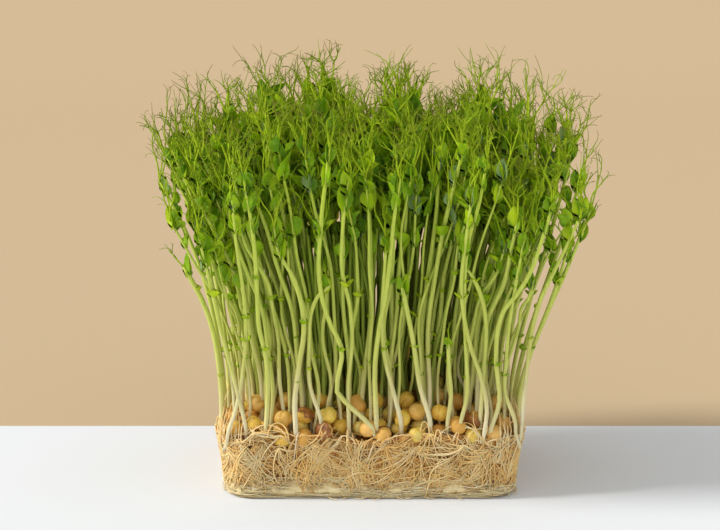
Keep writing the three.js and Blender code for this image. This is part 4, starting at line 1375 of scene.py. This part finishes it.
def tendril_finish():
    finish = Finish("tendril_skin", 0.6, Specular_IOR_Level=0.15)
    age = finish.vary(finish.read("grow"), finish.read("tone"), 0.3)
    base = finish.ramp(age, (0.0, "bcd22a"), (0.4, "a6c01a"), (0.75, "8ca416"), (1.0, "847634"))
    finish.colour(finish.shade(0.6, base, finish.noise(600, 3), 0.3, 0.7, "bfc48a"))
    finish.bump(finish.noise(1500, 3), 0.3, 0.0002)
    return finish.material


def root_finish(name, stops, dark="8a6a3e"):
    finish = Finish(name, 0.75, **lit_through(0.1, 0.001, (1.0, 0.2, 0.1)))
    base = finish.ramp(finish.vary(finish.read("tone"), finish.noise(90, 4), 0.7), *stops)
    fibres = finish.noise(2600, 4, (1, 1, 0.5))
    finish.colour(finish.shade(0.4, base, fibres, 0.25, 0.6, dark))
    finish.bump(fibres, 0.4, 0.0002)
    finish.roughen(finish.noise(300), 0.65, 0.9)
    return finish.material


def core_finish():
    finish = Finish("root_felt", 0.9)
    wide = finish.noise(110, 5, rough=0.65)
    fibres = finish.noise(1500, 5, (1, 1, 0.35), 0.7)
    base = finish.ramp(wide, (0.3, "9a602c"), (0.45, "ce9448"), (0.6, "e8b466"), (0.75, "f2cc88"))
    tangle = finish.shade(0.7, base, fibres, 0.3, 0.65, "6f5230")
    # The felt at the foot is paler and its fibres lie level.
    flow = finish.noise(700, 5, (0.12, 0.12, 1), 0.65)
    laid = finish.ramp(flow, (0.3, "dcc088"), (0.5, "f7e2aa"), (0.7, "fff2c6"))
    foot = finish.math("MULTIPLY_ADD", finish.noise(60, 3), 0.12, finish.read("grow"))
    is_foot = finish.ramp(foot, (0.24, "ffffff"), (0.33, "000000"))
    finish.colour(finish.mix(is_foot, tangle, laid))
    finish.bump(finish.math("ADD", fibres, flow), 0.8, 0.0006)
    return finish.material


def pea_finish():
    finish = Finish("pea_skin", 0.42, **lit_through(0.2, 0.002, (1.0, 0.6, 0.25)))
    tone = finish.vary(finish.read("tone"), finish.noise(220, 4), 0.34)
    yellows = [(0.0, "d49c40"), (0.22, "e4ae4e"), (0.45, "ecc06c")]
    yellows += [(0.65, "eab848"), (0.85, "ecc84e"), (1.0, "dfca72")]
    specks = finish.noise(1400, 4, rough=0.7)
    finish.colour(finish.shade(0.35, finish.ramp(tone, *yellows), specks, 0.3, 0.5, "c08c54"))
    dents = finish.math("MULTIPLY_ADD", finish.noise(280, 2), 2.0, finish.noise(900, 5))
    finish.bump(dents, 0.5, 0.0005)
    finish.roughen(finish.noise(500), 0.35, 0.6)
    return finish.material


def coat_finish():
    finish = Finish("torn_seed_coat", 0.55)
    browns = [(0.3, "6b3f1a"), (0.55, "a5692c"), (0.75, "c98f4e")]
    finish.colour(finish.ramp(finish.noise(300, 5, rough=0.7), *browns))
    finish.bump(finish.noise(1200, 4), 0.5, 0.0003)
    return finish.material


green = [stem_finish(), blade_finish(), tendril_finish()]
straw = root_finish("fine_roots", [(0.0, "dea452"), (0.3, "fac672"), (0.6, "fdd68c"), (1.0, "fee8b4")])
pale = root_finish("foot_felt", [(0.0, "f4dba0"), (0.5, "fceabc"), (1.0, "fff4d2")])
white = root_finish("thick_roots", [(0.0, "d6b880"), (0.5, "e0c897"), (1.0, "ead9b4")], "b59a6a")


# ---- Pieces ----
def shoots_piece(name, shoots, *nodes):
    """A piece of several shoots, each given by its number, its line and what the solids have on it."""
    skin = Skin()
    for n, line, *bears in shoots:
        Shoot(skin, n, line).grow(*bears)
    skin.piece(name, green, "pea_shoot", *nodes)


for i in range(len(feet)):
    pair = [(n, seen_line(n, paths[n]), *borne[n]) for n in (2 * i, 2 * i + 1)]
    shoots_piece(f"shoot_pair_{i + 1:02d}", pair, f"shoots_{i + 1:02d}")
lines = [(BETWEEN_FROM + i, seen_line(BETWEEN_FROM + i, path)) for i, path in enumerate(between)]
for row in range(BETWEEN["rows"]):
    first = row * BETWEEN["columns"]
    shoots_piece(f"shoots_between_{row + 1:02d}", lines[first : first + BETWEEN["columns"]])
shoots_piece("shoots_leaning", [(LEANING_FROM + i, leaning_line(*lean)) for i, lean in enumerate(LEANING)])
shoots_piece("shoots_in_front", [(FRONT_FROM + i, front_line(*stem)) for i, stem in enumerate(FRONT)])
filler_stems().piece("stems_deep_inside", green, "pea_shoot")
mat_core().piece("mat_core", [core_finish()], "root_fibre", "root_mat")
for quarter, side in enumerate(("front", "right", "back", "left")):
    side_roots(quarter).piece("mat_roots_" + side, [straw, pale], "root_fibre")
rim_roots().piece("rim_roots", [straw], "root_fibre")
bed_roots().piece("bed_roots", [straw], "root_fibre")
thick_roots().piece("thick_roots", [white], "root_fibre")
all_the_peas().piece("sprouted_peas", [pea_finish(), coat_finish()], "pea_seed", "pea_bed")

# ---- Floor, backdrop, light and camera ----
TABLE_BACK = 0.072  # where the table ends and the backdrop starts, in metres
HALF_STAGE = 4  # half the width of both
CURVE, BACKDROP_TOP = 1.6, 5  # radius of the backdrop's curve, and its height


def plain(name, code, other):
    finish = Finish(name, 0.8, Specular_IOR_Level=0.2)
    finish.colour(finish.ramp(finish.noise(600, 3), (0.3, code), (0.7, other)))
    return finish.material


def sweep(name, profile, material):
    """A wide sheet whose section is a line of (y, z) points, in metres."""
    corners = [(x, y, z) for y, z in profile for x in (-HALF_STAGE, HALF_STAGE)]
    faces = [(2 * i, 2 * i + 1, 2 * i + 3, 2 * i + 2) for i in range(len(profile) - 1)]
    put_mesh(name, corners, faces, [material])


sweep("table", [(-HALF_STAGE, 0), (TABLE_BACK, 0)], plain("table_white", "dfe2e7", "dde0e5"))
curve = [(CURVE + CURVE * math.sin(a), CURVE - CURVE * math.cos(a)) for a in np.linspace(0, math.pi / 2, 24)]
profile = [(TABLE_BACK, 0), *curve, (2 * CURVE, BACKDROP_TOP)]
sweep("backdrop", profile, plain("backdrop_beige", "c1ab8b", "bfa989"))

sun = bpy.data.lights.new("key", "SUN")
sun.energy = 2.65
sun.color = tint("fffefa")[:3]
sun.angle = 0.25
key = put("key", sun)
key.location = (-1.0, -0.15, 1.0)
key.rotation_euler = (Vector((0, 0, 0.1)) - key.location).to_track_quat("-Z", "Y").to_euler()
world = bpy.data.worlds.new("soft_room")
world.use_nodes = True
sky = world.node_tree.nodes["Background"].inputs
sky["Color"].default_value = tint("fbfcfe")
sky["Strength"].default_value = 0.79
bpy.context.scene.world = world
bpy.context.scene.view_settings.view_transform = "Standard"

AIM = (-4.8, -51, 113.5)  # the point on the mat's front plane that the camera aims at, in millimetres
FAR, TILT = 800, math.radians(11.5)
SPAN = 329  # width of the frame at that point
SENSOR = 36
camera = bpy.data.cameras.new("camera")
camera.sensor_width = SENSOR
camera.lens = SENSOR * FAR / SPAN
eye = put("camera", camera)
eye.location = (Vector(AIM) + FAR * Vector((0, -math.cos(TILT), math.sin(TILT)))) / 1000
eye.rotation_euler = (math.pi / 2 - TILT, 0, 0)
bpy.context.scene.camera = eye
